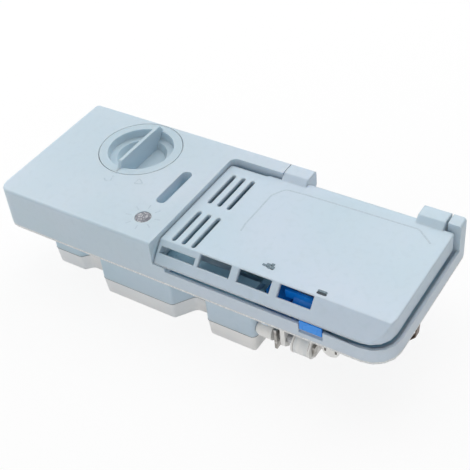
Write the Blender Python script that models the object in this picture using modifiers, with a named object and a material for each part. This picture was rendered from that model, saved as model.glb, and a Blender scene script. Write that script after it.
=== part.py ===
"""Dishwasher detergent dispenser for the cut-out of a door's inner panel.

X runs along the dispenser, Y from its front rim to its hinge, and Z up from the rinse tank's underside.
Places are measured from the front left corner, and one empty centres the whole part.
"""
import math

import bmesh
import bpy
from mathutils import Vector

MM = 0.001

# Overall sizes
BLOCK_LENGTH = 107.3 * MM
WELL_LENGTH = 137.7 * MM
LENGTH = BLOCK_LENGTH + WELL_LENGTH
WIDTH = 93.0 * MM
SEAT = 33.3 * MM
BLOCK_HEIGHT = 26.7 * MM
TOP = SEAT + BLOCK_HEIGHT
WALL = 2.2 * MM
GAP = 0.3 * MM
OVERRUN = 3.0 * MM

# Plan corners of the housing
LEFT_CORNER = 7.5 * MM
BACK_CORNER = 2.5 * MM
RIGHT_CORNER = 15.0 * MM
EDGE_ROUND = 1.6 * MM

# Flange and its gasket
GASKET_THICKNESS = 1.3 * MM
GASKET_INSET = 0.2 * MM
GASKET_WIDTH = 4.2 * MM
FLANGE_LOW = SEAT + GASKET_THICKNESS + GAP
FLANGE_THICKNESS = 2.4 * MM
FLANGE_LAND = 5.4 * MM

# Raised block and the strip behind the lid
STRIP_LENGTH = 33.0 * MM
STRIP_END = BLOCK_LENGTH + STRIP_LENGTH
STRIP_DEPTH = 10.1 * MM
STRIP_FRONT = WIDTH - STRIP_DEPTH
WELL_CORNER = 4.0 * MM
STRIP_CORE_FRONT = STRIP_FRONT + WALL
STRIP_CORE_DEPTH = 3.3 * MM
STRIP_CORE_TOP = 51.5 * MM

# Front rim, gutter and ear
LEDGE_TOP = 45.8 * MM
LEDGE_END_FROM_BLOCK = 7.7 * MM
LEDGE_END = BLOCK_LENGTH + LEDGE_END_FROM_BLOCK
RIM_TOP = 43.3 * MM
GUTTER_FLOOR = 40.8 * MM
LIP = 1.7 * MM
BACK_RIM = 7.0 * MM
GUTTER_BACK = WIDTH - BACK_RIM
EAR_LENGTH = 7.4 * MM
EAR_DEPTH = 9.0 * MM
EAR_FRONT = WIDTH - EAR_DEPTH

# Rinse tank: its front wall steps round two recesses
TANK_LEFT = 19.6 * MM
TANK_RIGHT_FROM_BLOCK = 58.2 * MM
TANK_RIGHT = BLOCK_LENGTH + TANK_RIGHT_FROM_BLOCK
TANK_FROM_BACK = 11.0 * MM
TANK_BACK = WIDTH - TANK_FROM_BACK
TANK_FRONT = 5.0 * MM
TANK_LEFT_FRONT = 12.7 * MM
TANK_LEFT_RECESS = 17.0 * MM
TANK_RECESS = 16.5 * MM
LEFT_LOBE_END = 40.0 * MM
MIDDLE_LOBE = 62.0 * MM
MIDDLE_LOBE_END_FROM_BLOCK = 4.2 * MM
MIDDLE_LOBE_END = BLOCK_LENGTH + MIDDLE_LOBE_END_FROM_BLOCK
RIGHT_LOBE_FROM_BLOCK = 26.7 * MM
RIGHT_LOBE = BLOCK_LENGTH + RIGHT_LOBE_FROM_BLOCK
LOBE_SLANT = 4.0 * MM
RECESS_SLANT = 8.0 * MM
TANK_CORNER = 3.0 * MM
TANK_INNER_CORNER = 1.2 * MM
SEAM = 12.3 * MM
COVER_WALL = 2.0 * MM
COVER_ROUND = 1.8 * MM
COVER_DRAFT = 0.9 * MM

# Detergent cups
CUP_LEFT_FROM_BLOCK = 38.7 * MM
CUP_LEFT = BLOCK_LENGTH + CUP_LEFT_FROM_BLOCK
CUP_FROM_RIGHT = 13.0 * MM
CUP_RIGHT = LENGTH - CUP_FROM_RIGHT
CUP_FRONT = 29.0 * MM
CUP_FROM_BACK = 19.0 * MM
CUP_BACK = WIDTH - CUP_FROM_BACK
CUP_FLOOR = 27.3 * MM
CUP_RIM = 52.3 * MM
CUP_SLOPE = 4.0 * MM
CUP_CORNER = 7.0 * MM
TANK_CEILING = CUP_FLOOR - WALL
NECK_STEP = 1.0 * MM
PREWASH_LEFT_FROM_BLOCK = 4.2 * MM
PREWASH_LEFT = BLOCK_LENGTH + PREWASH_LEFT_FROM_BLOCK
PREWASH_WIDTH = 29.5 * MM
PREWASH_FRONT = 18.7 * MM
PREWASH_STRIP = 5.8 * MM
PREWASH_RIGHT_FROM_BLOCK = 55.9 * MM
PREWASH_RIGHT = BLOCK_LENGTH + PREWASH_RIGHT_FROM_BLOCK
PREWASH_FROM_BACK = 13.5 * MM
PREWASH_BACK = WIDTH - PREWASH_FROM_BACK
PREWASH_FLOOR = 27.6 * MM
PREWASH_CORNER = 2.5 * MM
SHELF_FRONT = 5.5 * MM
SHELF_LEVEL = 9.0 * MM
SHELF_TOP = 45.6 * MM
SHELF_END_FROM_BLOCK = 58.7 * MM
SHELF_END = BLOCK_LENGTH + SHELF_END_FROM_BLOCK

# Filler throat, cap and rubber ring
CAP_FROM_END = 53.9 * MM
CAP_X = BLOCK_LENGTH - CAP_FROM_END
CAP_FROM_BACK = 26.5 * MM
CAP_Y = WIDTH - CAP_FROM_BACK
CAP_RADIUS = 24.7 * MM
CAP_GAP = 0.4 * MM
CAP_RING_THICKNESS = 2.2 * MM
THROAT_WALL = 1.1 * MM
THROAT_SEAT = 55.5 * MM
THROAT_LOW = 47.0 * MM
THROAT_BORE = 21.5 * MM
DISH_RADIUS = 19.6 * MM
DISH_WALL_RADIUS = 18.9 * MM
DISH_LEDGE_RADIUS = 17.4 * MM
DISH_LEDGE_WIDTH = 2.4 * MM
DISH_LEDGE = 55.2 * MM
DISH_FLOOR_RADIUS = 13.2 * MM
DISH_FLOOR = 51.2 * MM
CAP_WALL = 1.8 * MM
SKIRT_RADIUS = 20.8 * MM
SKIRT_WALL = 1.3 * MM
SKIRT_LOW = 44.8 * MM
LUG_COUNT = 3
LUG_HEIGHT = 1.8 * MM
LUG_REACH = 1.3 * MM
LUG_WIDTH = 8.0 * MM
LUG_SPARE = 0.5 * MM
CAP_TRAVEL = math.radians(90.0)
GRIP_THICKNESS = 2.0 * MM
GRIP_HALF_LENGTH = 22.0 * MM
GRIP_RISE = 4.3 * MM
GRIP_RAMP = 3.2 * MM
SEAL_OUTER = 24.3 * MM
SEAL_INNER = 22.9 * MM

# Dose knob and its post in the tank
KNOB_RADIUS = 8.0 * MM
KNOB_LOW = 43.8 * MM
KNOB_HIGH = 47.4 * MM
KNOB_STEM = 2.0 * MM
KNOB_STEM_LENGTH = 8.0 * MM
KNOB_SLOT = 1.6 * MM
KNOB_SLOT_DEPTH = 1.2 * MM
RUNNING_GAP = 0.08 * MM
POST_RADIUS = 3.8 * MM
POST_TOP = KNOB_LOW - GAP

# Level lens and rinse outlet in the block's top
LENS_FROM_END = 15.7 * MM
LENS_X = BLOCK_LENGTH - LENS_FROM_END
LENS_Y = 16.7 * MM
LENS_RADIUS = 4.3 * MM
LENS_FLANGE = 6.2 * MM
LENS_FLANGE_THICKNESS = 1.8 * MM
LENS_TIP = 46.0 * MM
LENS_TIP_RADIUS = 1.2 * MM
OUTLET_FROM_END = 15.1 * MM
OUTLET_X = BLOCK_LENGTH - OUTLET_FROM_END
OUTLET_FRONT = 30.4 * MM
OUTLET_BACK = 60.5 * MM
OUTLET_WIDTH = 6.4 * MM
OUTLET_DEPTH = 7.0 * MM
OUTLET_WALL = 1.6 * MM

# Lid
LID_SIDE_GAP = 0.6 * MM
LID_LEFT = BLOCK_LENGTH + LID_SIDE_GAP
LID_END_MARGIN = 2.4 * MM
LID_RIGHT = LENGTH - LID_END_MARGIN
LID_FRONT = 0.4 * MM
LID_TOP = 56.8 * MM
LID_EDGE = 46.3 * MM
LID_SLOPE_BACK = 9.6 * MM
LID_FROM_BACK = 9.0 * MM
LID_BACK = WIDTH - LID_FROM_BACK
LEFT_END_STEP = 4.2 * MM
LID_BACK_LEFT = LID_BACK - LEFT_END_STEP
STEP_FROM_ARM = 8.8 * MM
LID_STEP_X = STRIP_END - STEP_FROM_ARM
INNER_STEP = 3.0 * MM
LID_STEP_BACK = LID_BACK - INNER_STEP
RIGHT_END_STEP = 2.6 * MM
LID_BACK_RIGHT = LID_BACK - RIGHT_END_STEP
LID_CORNER = 13.5 * MM
LID_SMALL_CORNER = 1.5 * MM
LID_WALL = 2.2 * MM
HINGE_FROM_BACK = 5.0 * MM
HINGE_Y = WIDTH - HINGE_FROM_BACK
HINGE_Z = 56.0 * MM
ARM_WIDTH = 15.2 * MM
ARM_GAP = 0.4 * MM
LEFT_ARM = STRIP_END + ARM_GAP
RIGHT_ARM_FROM_END = 23.8 * MM
RIGHT_ARM = LENGTH - RIGHT_ARM_FROM_END
ARM_LOW = 48.6 * MM
ARM_ROOT_FROM_BACK = 14.0 * MM
ARM_ROOT = WIDTH - ARM_ROOT_FROM_BACK
ARM_ROUND = 3.0 * MM
SLOT_WIDTH = 2.6 * MM
SLOT_PITCH = 6.2 * MM
SLOT_LEFT_FROM_BLOCK = 7.6 * MM
SLOT_LEFT = BLOCK_LENGTH + SLOT_LEFT_FROM_BLOCK
SLOT_COUNT = 3
SLOT_ROWS = ((11.0 * MM, 37.5 * MM), (45.4 * MM, 72.7 * MM))
WINDOW_SILL = 51.1 * MM
WINDOW_LEFT_FROM_BLOCK = 26.3 * MM
WINDOW_LEFT = BLOCK_LENGTH + WINDOW_LEFT_FROM_BLOCK
WINDOW_WIDTH = 19.3 * MM
WINDOW_PITCH = 23.8 * MM
WINDOW_COUNT = 3
WINDOW_TOP = 56.4 * MM
SMALL_WINDOW_LEFT_FROM_BLOCK = 2.2 * MM
SMALL_WINDOW_LEFT = BLOCK_LENGTH + SMALL_WINDOW_LEFT_FROM_BLOCK
SMALL_WINDOW_WIDTH = 21.9 * MM
SMALL_WINDOW_TOP = 54.1 * MM
LID_SEAL_WIDTH = 3.4 * MM
SEAL_RIB = 1.2 * MM
SEAL_RIB_HEIGHT = 2.6 * MM
CATCH_LEFT_FROM_BLOCK = 79.7 * MM
CATCH_LEFT = BLOCK_LENGTH + CATCH_LEFT_FROM_BLOCK
CATCH_WIDTH = 12.0 * MM
CATCH_LEG = 16.2 * MM
CATCH_LEG_THICKNESS = 1.8 * MM
CATCH_TOE = 14.6 * MM
CATCH_LOW = 44.3 * MM
CATCH_TOE_HEIGHT = 1.6 * MM

# Hinge pins and the spring that throws the lid open
PIN_RADIUS = 1.5 * MM
PIN_GAP = 0.08 * MM
PIN_IN_STRIP = 8.0 * MM
PIN_IN_EAR = 5.2 * MM
PIN_IN_ARM = 11.0 * MM
PIN_HOLE_SPARE = 0.5 * MM
SPRING_POCKET_WALL = 3.2 * MM
SPRING_POCKET_LENGTH = 8.4 * MM
LID_SPRING_RADIUS = 2.1 * MM
LID_SPRING_WIRE = 0.7 * MM
LID_SPRING_TURNS = 5
LID_SPRING_PITCH = 1.1 * MM
LID_SPRING_FOOT = RIM_TOP + GAP
LID_SPRING_REACH = 7.0 * MM
SPRING_SPACE = LID_SPRING_RADIUS + LID_SPRING_WIRE / 2 + GAP

# Latch lever, its pin, its pocket and its spring
PIVOT_Y = 9.0 * MM
PIVOT_Z = 40.8 * MM
POCKET_LEFT_FROM_BLOCK = 61.2 * MM
POCKET_LEFT = BLOCK_LENGTH + POCKET_LEFT_FROM_BLOCK
POCKET_RIGHT_FROM_BLOCK = 104.7 * MM
POCKET_RIGHT = BLOCK_LENGTH + POCKET_RIGHT_FROM_BLOCK
POCKET_FRONT = 4.0 * MM
POCKET_BACK = 24.5 * MM
POCKET_FLOOR = 37.3 * MM
LATCH_LEFT_FROM_BLOCK = 63.2 * MM
LATCH_LEFT = BLOCK_LENGTH + LATCH_LEFT_FROM_BLOCK
LATCH_RIGHT_FROM_BLOCK = 99.2 * MM
LATCH_RIGHT = BLOCK_LENGTH + LATCH_RIGHT_FROM_BLOCK
LATCH_HUB = 2.1 * MM
LATCH_PIN_RADIUS = 1.0 * MM
LATCH_EAR = 3.0 * MM
LATCH_EAR_HALF = 3.2 * MM
LATCH_EAR_TOP = 44.0 * MM
LATCH_SIDE_GAP = 0.5 * MM
TAB_LEFT_FROM_BLOCK = 89.1 * MM
TAB_LEFT = BLOCK_LENGTH + TAB_LEFT_FROM_BLOCK
TAB_RIGHT_FROM_BLOCK = 101.7 * MM
TAB_RIGHT = BLOCK_LENGTH + TAB_RIGHT_FROM_BLOCK
TAB_FRONT = 0.1 * MM
TAB_THICKNESS = 1.0 * MM
TAB_LOW = 40.1 * MM
TAB_HIGH = 45.9 * MM
TAB_ARM_LOW = 43.4 * MM
TAB_SIDE_GAP = 0.5 * MM
TAB_RECESS = 1.7 * MM
TAB_RECESS_LOW = 37.6 * MM
GUARD_BACK = 3.3 * MM
GUARD_TOP = 41.5 * MM
NOSE_LEFT_FROM_BLOCK = 80.3 * MM
NOSE_LEFT = BLOCK_LENGTH + NOSE_LEFT_FROM_BLOCK
NOSE_WIDTH = 10.8 * MM
NOSE_FRONT = 11.2 * MM
NOSE_LEG_BACK = 13.4 * MM
NOSE_TIP = 15.6 * MM
NOSE_LOW = 46.3 * MM
NOSE_HIGH = 48.3 * MM
CREST_FROM_BLOCK = 75.2 * MM
CREST_LEFT = BLOCK_LENGTH + CREST_FROM_BLOCK
CREST_WIDTH = 20.0 * MM
CREST_THICKNESS = 1.6 * MM
CREST_TOP = 51.2 * MM
WING_RIGHT_FROM_BLOCK = 78.1 * MM
WING_RIGHT = BLOCK_LENGTH + WING_RIGHT_FROM_BLOCK
WING_BACK = 22.0 * MM
WING_LOW = 43.0 * MM
WING_HIGH = 45.0 * MM
WING_CORNER = 5.0 * MM
TAIL_X_FROM_BLOCK = 80.2 * MM
TAIL_X = BLOCK_LENGTH + TAIL_X_FROM_BLOCK
TAIL_RADIUS = 1.2 * MM
TAIL_LOW = 25.8 * MM
TAIL_SPARE = 0.6 * MM
LATCH_TRAVEL = math.radians(12.0)
LATCH_SPRING_X_FROM_BLOCK = 94.3 * MM
LATCH_SPRING_X = BLOCK_LENGTH + LATCH_SPRING_X_FROM_BLOCK
LATCH_SPRING_Y = 5.4 * MM
LATCH_SPRING_RADIUS = 0.9 * MM
LATCH_SPRING_WIRE = 0.4 * MM
LATCH_SPRING_TURNS = 4

# Solenoid line under the rim
AXIS_Y = 9.7 * MM
AXIS_Z = 18.1 * MM
STROKE = 3.2 * MM
BARREL_RADIUS = 4.7 * MM
BARREL_BORE = 3.4 * MM
BARREL_LEFT = TANK_RIGHT + GAP
BARREL_RIGHT_FROM_BLOCK = 68.2 * MM
BARREL_RIGHT = BLOCK_LENGTH + BARREL_RIGHT_FROM_BLOCK
BARREL_END_WALL = 1.2 * MM
BARREL_ROUND = 2.2 * MM
VALVE_PORT = 1.6 * MM
SADDLE_LEFT_FROM_BLOCK = 61.3 * MM
SADDLE_LEFT = BLOCK_LENGTH + SADDLE_LEFT_FROM_BLOCK
SADDLE_LENGTH = 4.0 * MM
SADDLE_WIDTH = 4.4 * MM
STEM_RADIUS = 1.2 * MM
STEM_GAP = 0.1 * MM
VALVE_SEAL_RADIUS = 2.8 * MM
VALVE_SEAL_LEFT = BARREL_LEFT
VALVE_SEAL_THICKNESS = 1.8 * MM
COLLAR_RADIUS = 2.4 * MM
COLLAR_LENGTH = 1.0 * MM
STEM_LEFT = VALVE_SEAL_LEFT + VALVE_SEAL_THICKNESS + GAP
VALVE_SPRING_RADIUS = 1.9 * MM
VALVE_SPRING_WIRE = 0.4 * MM
VALVE_SPRING_TURNS = 4
PLUNGER_RADIUS = 2.5 * MM
PLUNGER_LEFT_FROM_BLOCK = 69.3 * MM
PLUNGER_LEFT = BLOCK_LENGTH + PLUNGER_LEFT_FROM_BLOCK
PLUNGER_RIGHT_FROM_BLOCK = 88.3 * MM
PLUNGER_RIGHT = BLOCK_LENGTH + PLUNGER_RIGHT_FROM_BLOCK
YOKE_LEFT_FROM_BLOCK = 70.3 * MM
YOKE_LEFT = BLOCK_LENGTH + YOKE_LEFT_FROM_BLOCK
YOKE_RIGHT_FROM_BLOCK = 93.6 * MM
YOKE_RIGHT = BLOCK_LENGTH + YOKE_RIGHT_FROM_BLOCK
YOKE_SHEET = 1.5 * MM
YOKE_FRONT = 5.2 * MM
YOKE_BACK = 17.5 * MM
YOKE_LOW = 11.2 * MM
YOKE_HIGH = 25.0 * MM
YOKE_BORE = 2.8 * MM
TONGUE_HALF_HEIGHT = 3.4 * MM
TONGUE_FRONT = 6.4 * MM
STRAP_LEFT_FROM_BLOCK = 86.7 * MM
STRAP_LEFT = BLOCK_LENGTH + STRAP_LEFT_FROM_BLOCK
STRAP_RIGHT_FROM_BLOCK = 119.7 * MM
STRAP_RIGHT = BLOCK_LENGTH + STRAP_RIGHT_FROM_BLOCK
STRAP_LOW = 19.0 * MM
TAB_PLATE_LEFT_FROM_BLOCK = 106.7 * MM
TAB_PLATE_LEFT = BLOCK_LENGTH + TAB_PLATE_LEFT_FROM_BLOCK
TAB_PLATE_FRONT = 8.5 * MM
PRONG_LEFT_FROM_BLOCK = 73.7 * MM
PRONG_LEFT = BLOCK_LENGTH + PRONG_LEFT_FROM_BLOCK
PRONG_THICKNESS = 2.7 * MM
PRONG_HALF_WIDTH = 4.0 * MM
PRONG_TIP = 11.6 * MM
PRONG_SHOULDER = 15.0 * MM
PRONG_BORE_GAP = 0.1 * MM
SLIDE_LOW = 26.7 * MM
SLIDE_THICKNESS = 2.0 * MM
SLIDE_MARGIN = 1.6 * MM
SLOT_GAP = 0.4 * MM
BOBBIN_LEFT_FROM_BLOCK = 80.9 * MM
BOBBIN_LEFT = BLOCK_LENGTH + BOBBIN_LEFT_FROM_BLOCK
BOBBIN_RIGHT_FROM_BLOCK = 91.8 * MM
BOBBIN_RIGHT = BLOCK_LENGTH + BOBBIN_RIGHT_FROM_BLOCK
BOBBIN_RADIUS = 6.3 * MM
BOBBIN_FLANGE = 1.0 * MM
BOBBIN_CORE = 3.9 * MM
BOBBIN_BORE = 2.6 * MM
WINDING_RADIUS = 5.9 * MM
WINDING_GAP = 0.15 * MM
RISER_WIDTH = 3.4 * MM
RISER_TOP = 27.0 * MM
RISER_SHEET = 1.5 * MM
DISC_X_FROM_BLOCK = 103.3 * MM
DISC_X = BLOCK_LENGTH + DISC_X_FROM_BLOCK
DISC_RADIUS = 4.8 * MM
DISC_FRONT = 5.4 * MM
DISC_BACK = 9.6 * MM
TERMINAL_OFFSET = 3.0 * MM
TERMINAL_WIDTH = 0.8 * MM
TERMINAL_HEIGHT = 2.8 * MM
TERMINAL_BACK = 14.4 * MM
TERMINAL_PROUD = 0.2 * MM
SCREWS_FROM_BLOCK = 110.3 * MM
SCREW_PITCH = 5.8 * MM
FIRST_SCREW_X = BLOCK_LENGTH + SCREWS_FROM_BLOCK
SCREW_X = (FIRST_SCREW_X, FIRST_SCREW_X + SCREW_PITCH)
SCREW_Y = 12.4 * MM
SCREW_RADIUS = 1.3 * MM
SCREW_HEAD = 2.5 * MM
SCREW_HEAD_HEIGHT = 1.6 * MM
SCREW_LENGTH = 6.0 * MM
SCREW_GAP = 0.2 * MM

# Spring steel clips that hold the flange against the panel
CLIP_RIB_THICKNESS = 2.0 * MM
CLIP_RIB_LENGTH = 16.0 * MM
CLIP_RIB_LOW = 20.5 * MM
CLIP_FROM_END = 7.6 * MM
CLIP_RIGHT_X = LENGTH - CLIP_FROM_END
CLIP_LEFT_X = 11.5 * MM
CLIP_LEFT_Y = 41.0 * MM
CLIP_RIGHT_Y = 34.5 * MM
CLIP_WIDTH = 10.0 * MM
CLIP_SHEET = 0.7 * MM
CLIP_GAP = 0.3 * MM
CLIP_SPREAD = 4.6 * MM
CLIP_TIP_DROP = 2.6 * MM

# Facets
CORNER_STEPS = 4
ROUND_STEPS = 24
WIDE_ROUND_STEPS = 48
COIL_STEPS = 10

for left_over in list(bpy.data.objects):
    bpy.data.objects.remove(left_over, do_unlink=True)
parts = bpy.data.collections.new("detergent_dispenser")
cutters = bpy.data.collections.new("cutters")
placement = bpy.data.objects.new("dispenser_centre", None)


def material(name, colour, roughness, metallic=0.0):
    """A plain material of one colour."""
    made = bpy.data.materials.new(name)
    made.use_nodes = True
    shader = made.node_tree.nodes["Principled BSDF"]
    shader.inputs["Base Color"].default_value = (*colour, 1.0)
    shader.inputs["Roughness"].default_value = roughness
    shader.inputs["Metallic"].default_value = metallic
    made.diffuse_color = (*colour, 1.0)
    return made


def tool(obj):
    """Files a piece as a cutter or a shape to be joined."""
    cutters.objects.link(obj)
    obj.parent = placement
    obj.hide_render = True
    obj.display_type = "WIRE"
    return obj


def node(obj, name, look, origin=None):
    """Files a piece as a sub-part, with its origin on its joint axis if one is given."""
    obj.name = name
    parts.objects.link(obj)
    obj.parent = placement
    obj.data.materials.append(look)
    if origin is not None:
        shift = Vector(origin)
        for vertex in obj.data.vertices:
            vertex.co -= shift
        obj.location = shift
    if obj.type == "MESH":
        obj.data.shade_smooth()
        obj.data.set_sharp_from_angle(angle=math.radians(30.0))
    return obj


def boolean(obj, other, operation):
    """Adds one exact boolean to a piece."""
    change = obj.modifiers.new(operation.lower(), "BOOLEAN")
    change.operation = operation
    change.object = other
    change.solver = "EXACT"
    return obj


def cut(obj, *others):
    for other in others:
        boolean(obj, tool(other), "DIFFERENCE")
    return obj


def join(obj, *others):
    for other in others:
        boolean(obj, tool(other), "UNION")
    return obj


def shifted(corners, inwards):
    """The same corners with every side moved inwards; hollow corners get rounder."""
    moved = []
    count = len(corners)
    for index, (x, y, radius) in enumerate(corners):
        here = Vector((x, y))
        back = (here - Vector(corners[index - 1][:2])).normalized()
        ahead = (Vector(corners[(index + 1) % count][:2]) - here).normalized()
        normal = (Vector((-back.y, back.x)) + Vector((-ahead.y, ahead.x))).normalized()
        place = here + normal * inwards / normal.dot(Vector((-back.y, back.x)))
        hollow = back.cross(ahead) < 0
        moved.append((place.x, place.y, max(radius + (inwards if hollow else -inwards), 0)))
    return moved


def outline(corners, inwards=0):
    """Closed outline from (x, y, radius) corners, counter-clockwise, with each corner rounded."""
    points = []
    count = len(corners)
    if inwards:
        corners = shifted(corners, inwards)
    for index, (x, y, radius) in enumerate(corners):
        here = Vector((x, y))
        back = Vector(corners[index - 1][:2]) - here
        ahead = Vector(corners[(index + 1) % count][:2]) - here
        if radius == 0:
            points.append((x, y))
            continue
        back.normalize()
        ahead.normalize()
        half = back.angle(ahead) / 2
        centre = here + (back + ahead).normalized() * (radius / math.sin(half))
        start = here + back * (radius / math.tan(half)) - centre
        end = here + ahead * (radius / math.tan(half)) - centre
        turn = start.angle_signed(end)
        for step in range(CORNER_STEPS + 1):
            angle = -turn * step / CORNER_STEPS
            spoke = Vector((start.x * math.cos(angle) - start.y * math.sin(angle),
                            start.x * math.sin(angle) + start.y * math.cos(angle)))
            points.append(tuple(centre + spoke))
    return points


def inset(points, distance):
    """The same outline, moved inwards by a distance."""
    moved = []
    count = len(points)
    for index in range(count):
        here = Vector(points[index])
        back = (here - Vector(points[index - 1])).normalized()
        ahead = (Vector(points[(index + 1) % count]) - here).normalized()
        normal = (Vector((-back.y, back.x)) + Vector((-ahead.y, ahead.x))).normalized()
        share = max(normal.dot(Vector((-back.y, back.x))), 0.2)
        moved.append(tuple(here + normal * distance / share))
    return moved


def loft(name, rings):
    """A closed body through rings of equally many points."""
    mesh = bpy.data.meshes.new(name)
    form = bmesh.new()
    made = [[form.verts.new(point) for point in ring] for ring in rings]
    form.faces.new(made[0])
    form.faces.new(made[-1])
    for low, high in zip(made, made[1:]):
        for index in range(len(low)):
            form.faces.new((low[index - 1], low[index], high[index], high[index - 1]))
    bmesh.ops.recalc_face_normals(form, faces=form.faces)
    form.to_mesh(mesh)
    form.free()
    return bpy.data.objects.new(name, mesh)


def prism(name, points, low, high, low_inset=0, top_round=0, low_round=0):
    """An upright body on an outline, with optional sloping walls and rounded edges."""
    rings = []
    if low_round:
        for step in range(CORNER_STEPS):
            angle = math.pi / 2 * step / CORNER_STEPS
            depth = low_round * (1 - math.sin(angle))
            rings.append((inset(points, low_inset + depth), low + low_round * (1 - math.cos(angle))))
        rings.append((inset(points, low_inset), low + low_round))
    else:
        rings.append((inset(points, low_inset) if low_inset else points, low))
    if top_round:
        rings.append((points, high - top_round))
        for step in range(1, CORNER_STEPS + 1):
            angle = math.pi / 2 * step / CORNER_STEPS
            depth = top_round * (1 - math.cos(angle))
            rings.append((inset(points, depth), high - top_round * (1 - math.sin(angle))))
    else:
        rings.append((points, high))
    return loft(name, [[(x, y, height) for x, y in ring] for ring, height in rings])


def bar_x(name, points, left, right):
    """A body along X on an outline of (y, z) points."""
    return loft(name, [[(x, y, z) for y, z in points] for x in (left, right)])


def bar_y(name, points, front, back):
    """A body along Y on an outline of (x, z) points."""
    return loft(name, [[(x, y, z) for x, z in points] for y in (front, back)])


def box(name, low, high):
    """A box between two corners."""
    form = bmesh.new()
    bmesh.ops.create_cube(form, size=1.0)
    for vertex in form.verts:
        vertex.co = Vector([low[i] if vertex.co[i] < 0 else high[i] for i in range(3)])
    mesh = bpy.data.meshes.new(name)
    form.to_mesh(mesh)
    form.free()
    return bpy.data.objects.new(name, mesh)


def rod(name, centre, radius, low, high, axis="Z", steps=ROUND_STEPS):
    """A cylinder along an axis; the centre gives its two other coordinates."""
    spokes = [math.tau * step / steps for step in range(steps)]
    ring = [(centre[0] + radius * math.cos(a), centre[1] + radius * math.sin(a)) for a in spokes]
    if axis == "X":
        return bar_x(name, ring, low, high)
    if axis == "Y":
        return bar_y(name, ring, low, high)
    return prism(name, ring, low, high)


def stadium(x, front, back, width):
    """Outline of a slot along Y with round ends."""
    radius = width / 2
    points = []
    for centre, start in ((front + radius, math.pi), (back - radius, 0.0)):
        for step in range(2 * CORNER_STEPS + 1):
            angle = start + math.pi * step / (2 * CORNER_STEPS)
            points.append((x + radius * math.cos(angle), centre + radius * math.sin(angle)))
    return points


def turned(name, profile, place, along_x=False, steps=ROUND_STEPS):
    """A turned body: the profile of (radius, height) runs down its outer side."""
    mesh = bpy.data.meshes.new(name)
    closed = profile[0][0] > 0
    count = len(profile)
    links = [(index, index + 1) for index in range(count - 1)]
    if closed:
        links.append((count - 1, 0))
    mesh.from_pydata([(radius, 0, height) for radius, height in profile], links, [])
    obj = bpy.data.objects.new(name, mesh)
    obj.location = place
    if along_x:
        obj.rotation_euler = (0, math.pi / 2, 0)
    spin = obj.modifiers.new("screw", "SCREW")
    spin.steps = steps
    spin.render_steps = steps
    spin.use_merge_vertices = True
    spin.merge_threshold = 0.000001
    spin.use_smooth_shade = True
    return obj


def wire(name, points, thickness):
    """A wire of round section through computed points."""
    curve = bpy.data.curves.new(name, "CURVE")
    curve.dimensions = "3D"
    curve.bevel_depth = thickness / 2
    curve.bevel_resolution = 2
    curve.use_fill_caps = True
    line = curve.splines.new("POLY")
    line.points.add(len(points) - 1)
    for point, place in zip(line.points, points):
        point.co = (*place, 1.0)
    return bpy.data.objects.new(name, curve)


def housing_outline(inwards=0):
    corners = [(0, 0, LEFT_CORNER), (LENGTH, 0, RIGHT_CORNER), (LENGTH, WIDTH, BACK_CORNER),
               (0, WIDTH, BACK_CORNER)]
    return outline(corners, inwards)


def tank_outline(inwards=0):
    corners = [
        (TANK_LEFT, TANK_LEFT_FRONT, TANK_CORNER),
        (LEFT_LOBE_END, TANK_LEFT_FRONT, TANK_CORNER),
        (LEFT_LOBE_END + LOBE_SLANT, TANK_LEFT_RECESS, TANK_CORNER),
        (MIDDLE_LOBE, TANK_LEFT_RECESS, TANK_INNER_CORNER),
        (MIDDLE_LOBE, TANK_FRONT, TANK_CORNER),
        (MIDDLE_LOBE_END, TANK_FRONT, TANK_CORNER),
        (MIDDLE_LOBE_END + RECESS_SLANT, TANK_RECESS, TANK_CORNER),
        (RIGHT_LOBE, TANK_RECESS, TANK_INNER_CORNER),
        (RIGHT_LOBE, TANK_FRONT, TANK_CORNER),
        (TANK_RIGHT, TANK_FRONT, TANK_CORNER),
        (TANK_RIGHT, TANK_BACK, TANK_CORNER),
        (TANK_LEFT, TANK_BACK, TANK_CORNER),
    ]
    return outline(corners, inwards)


def cup_outline(inwards=0):
    corners = [(CUP_LEFT, CUP_FRONT, CUP_CORNER), (CUP_RIGHT, CUP_FRONT, CUP_CORNER),
               (CUP_RIGHT, CUP_BACK, CUP_CORNER), (CUP_LEFT, CUP_BACK, CUP_CORNER)]
    return outline(corners, inwards)


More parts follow.
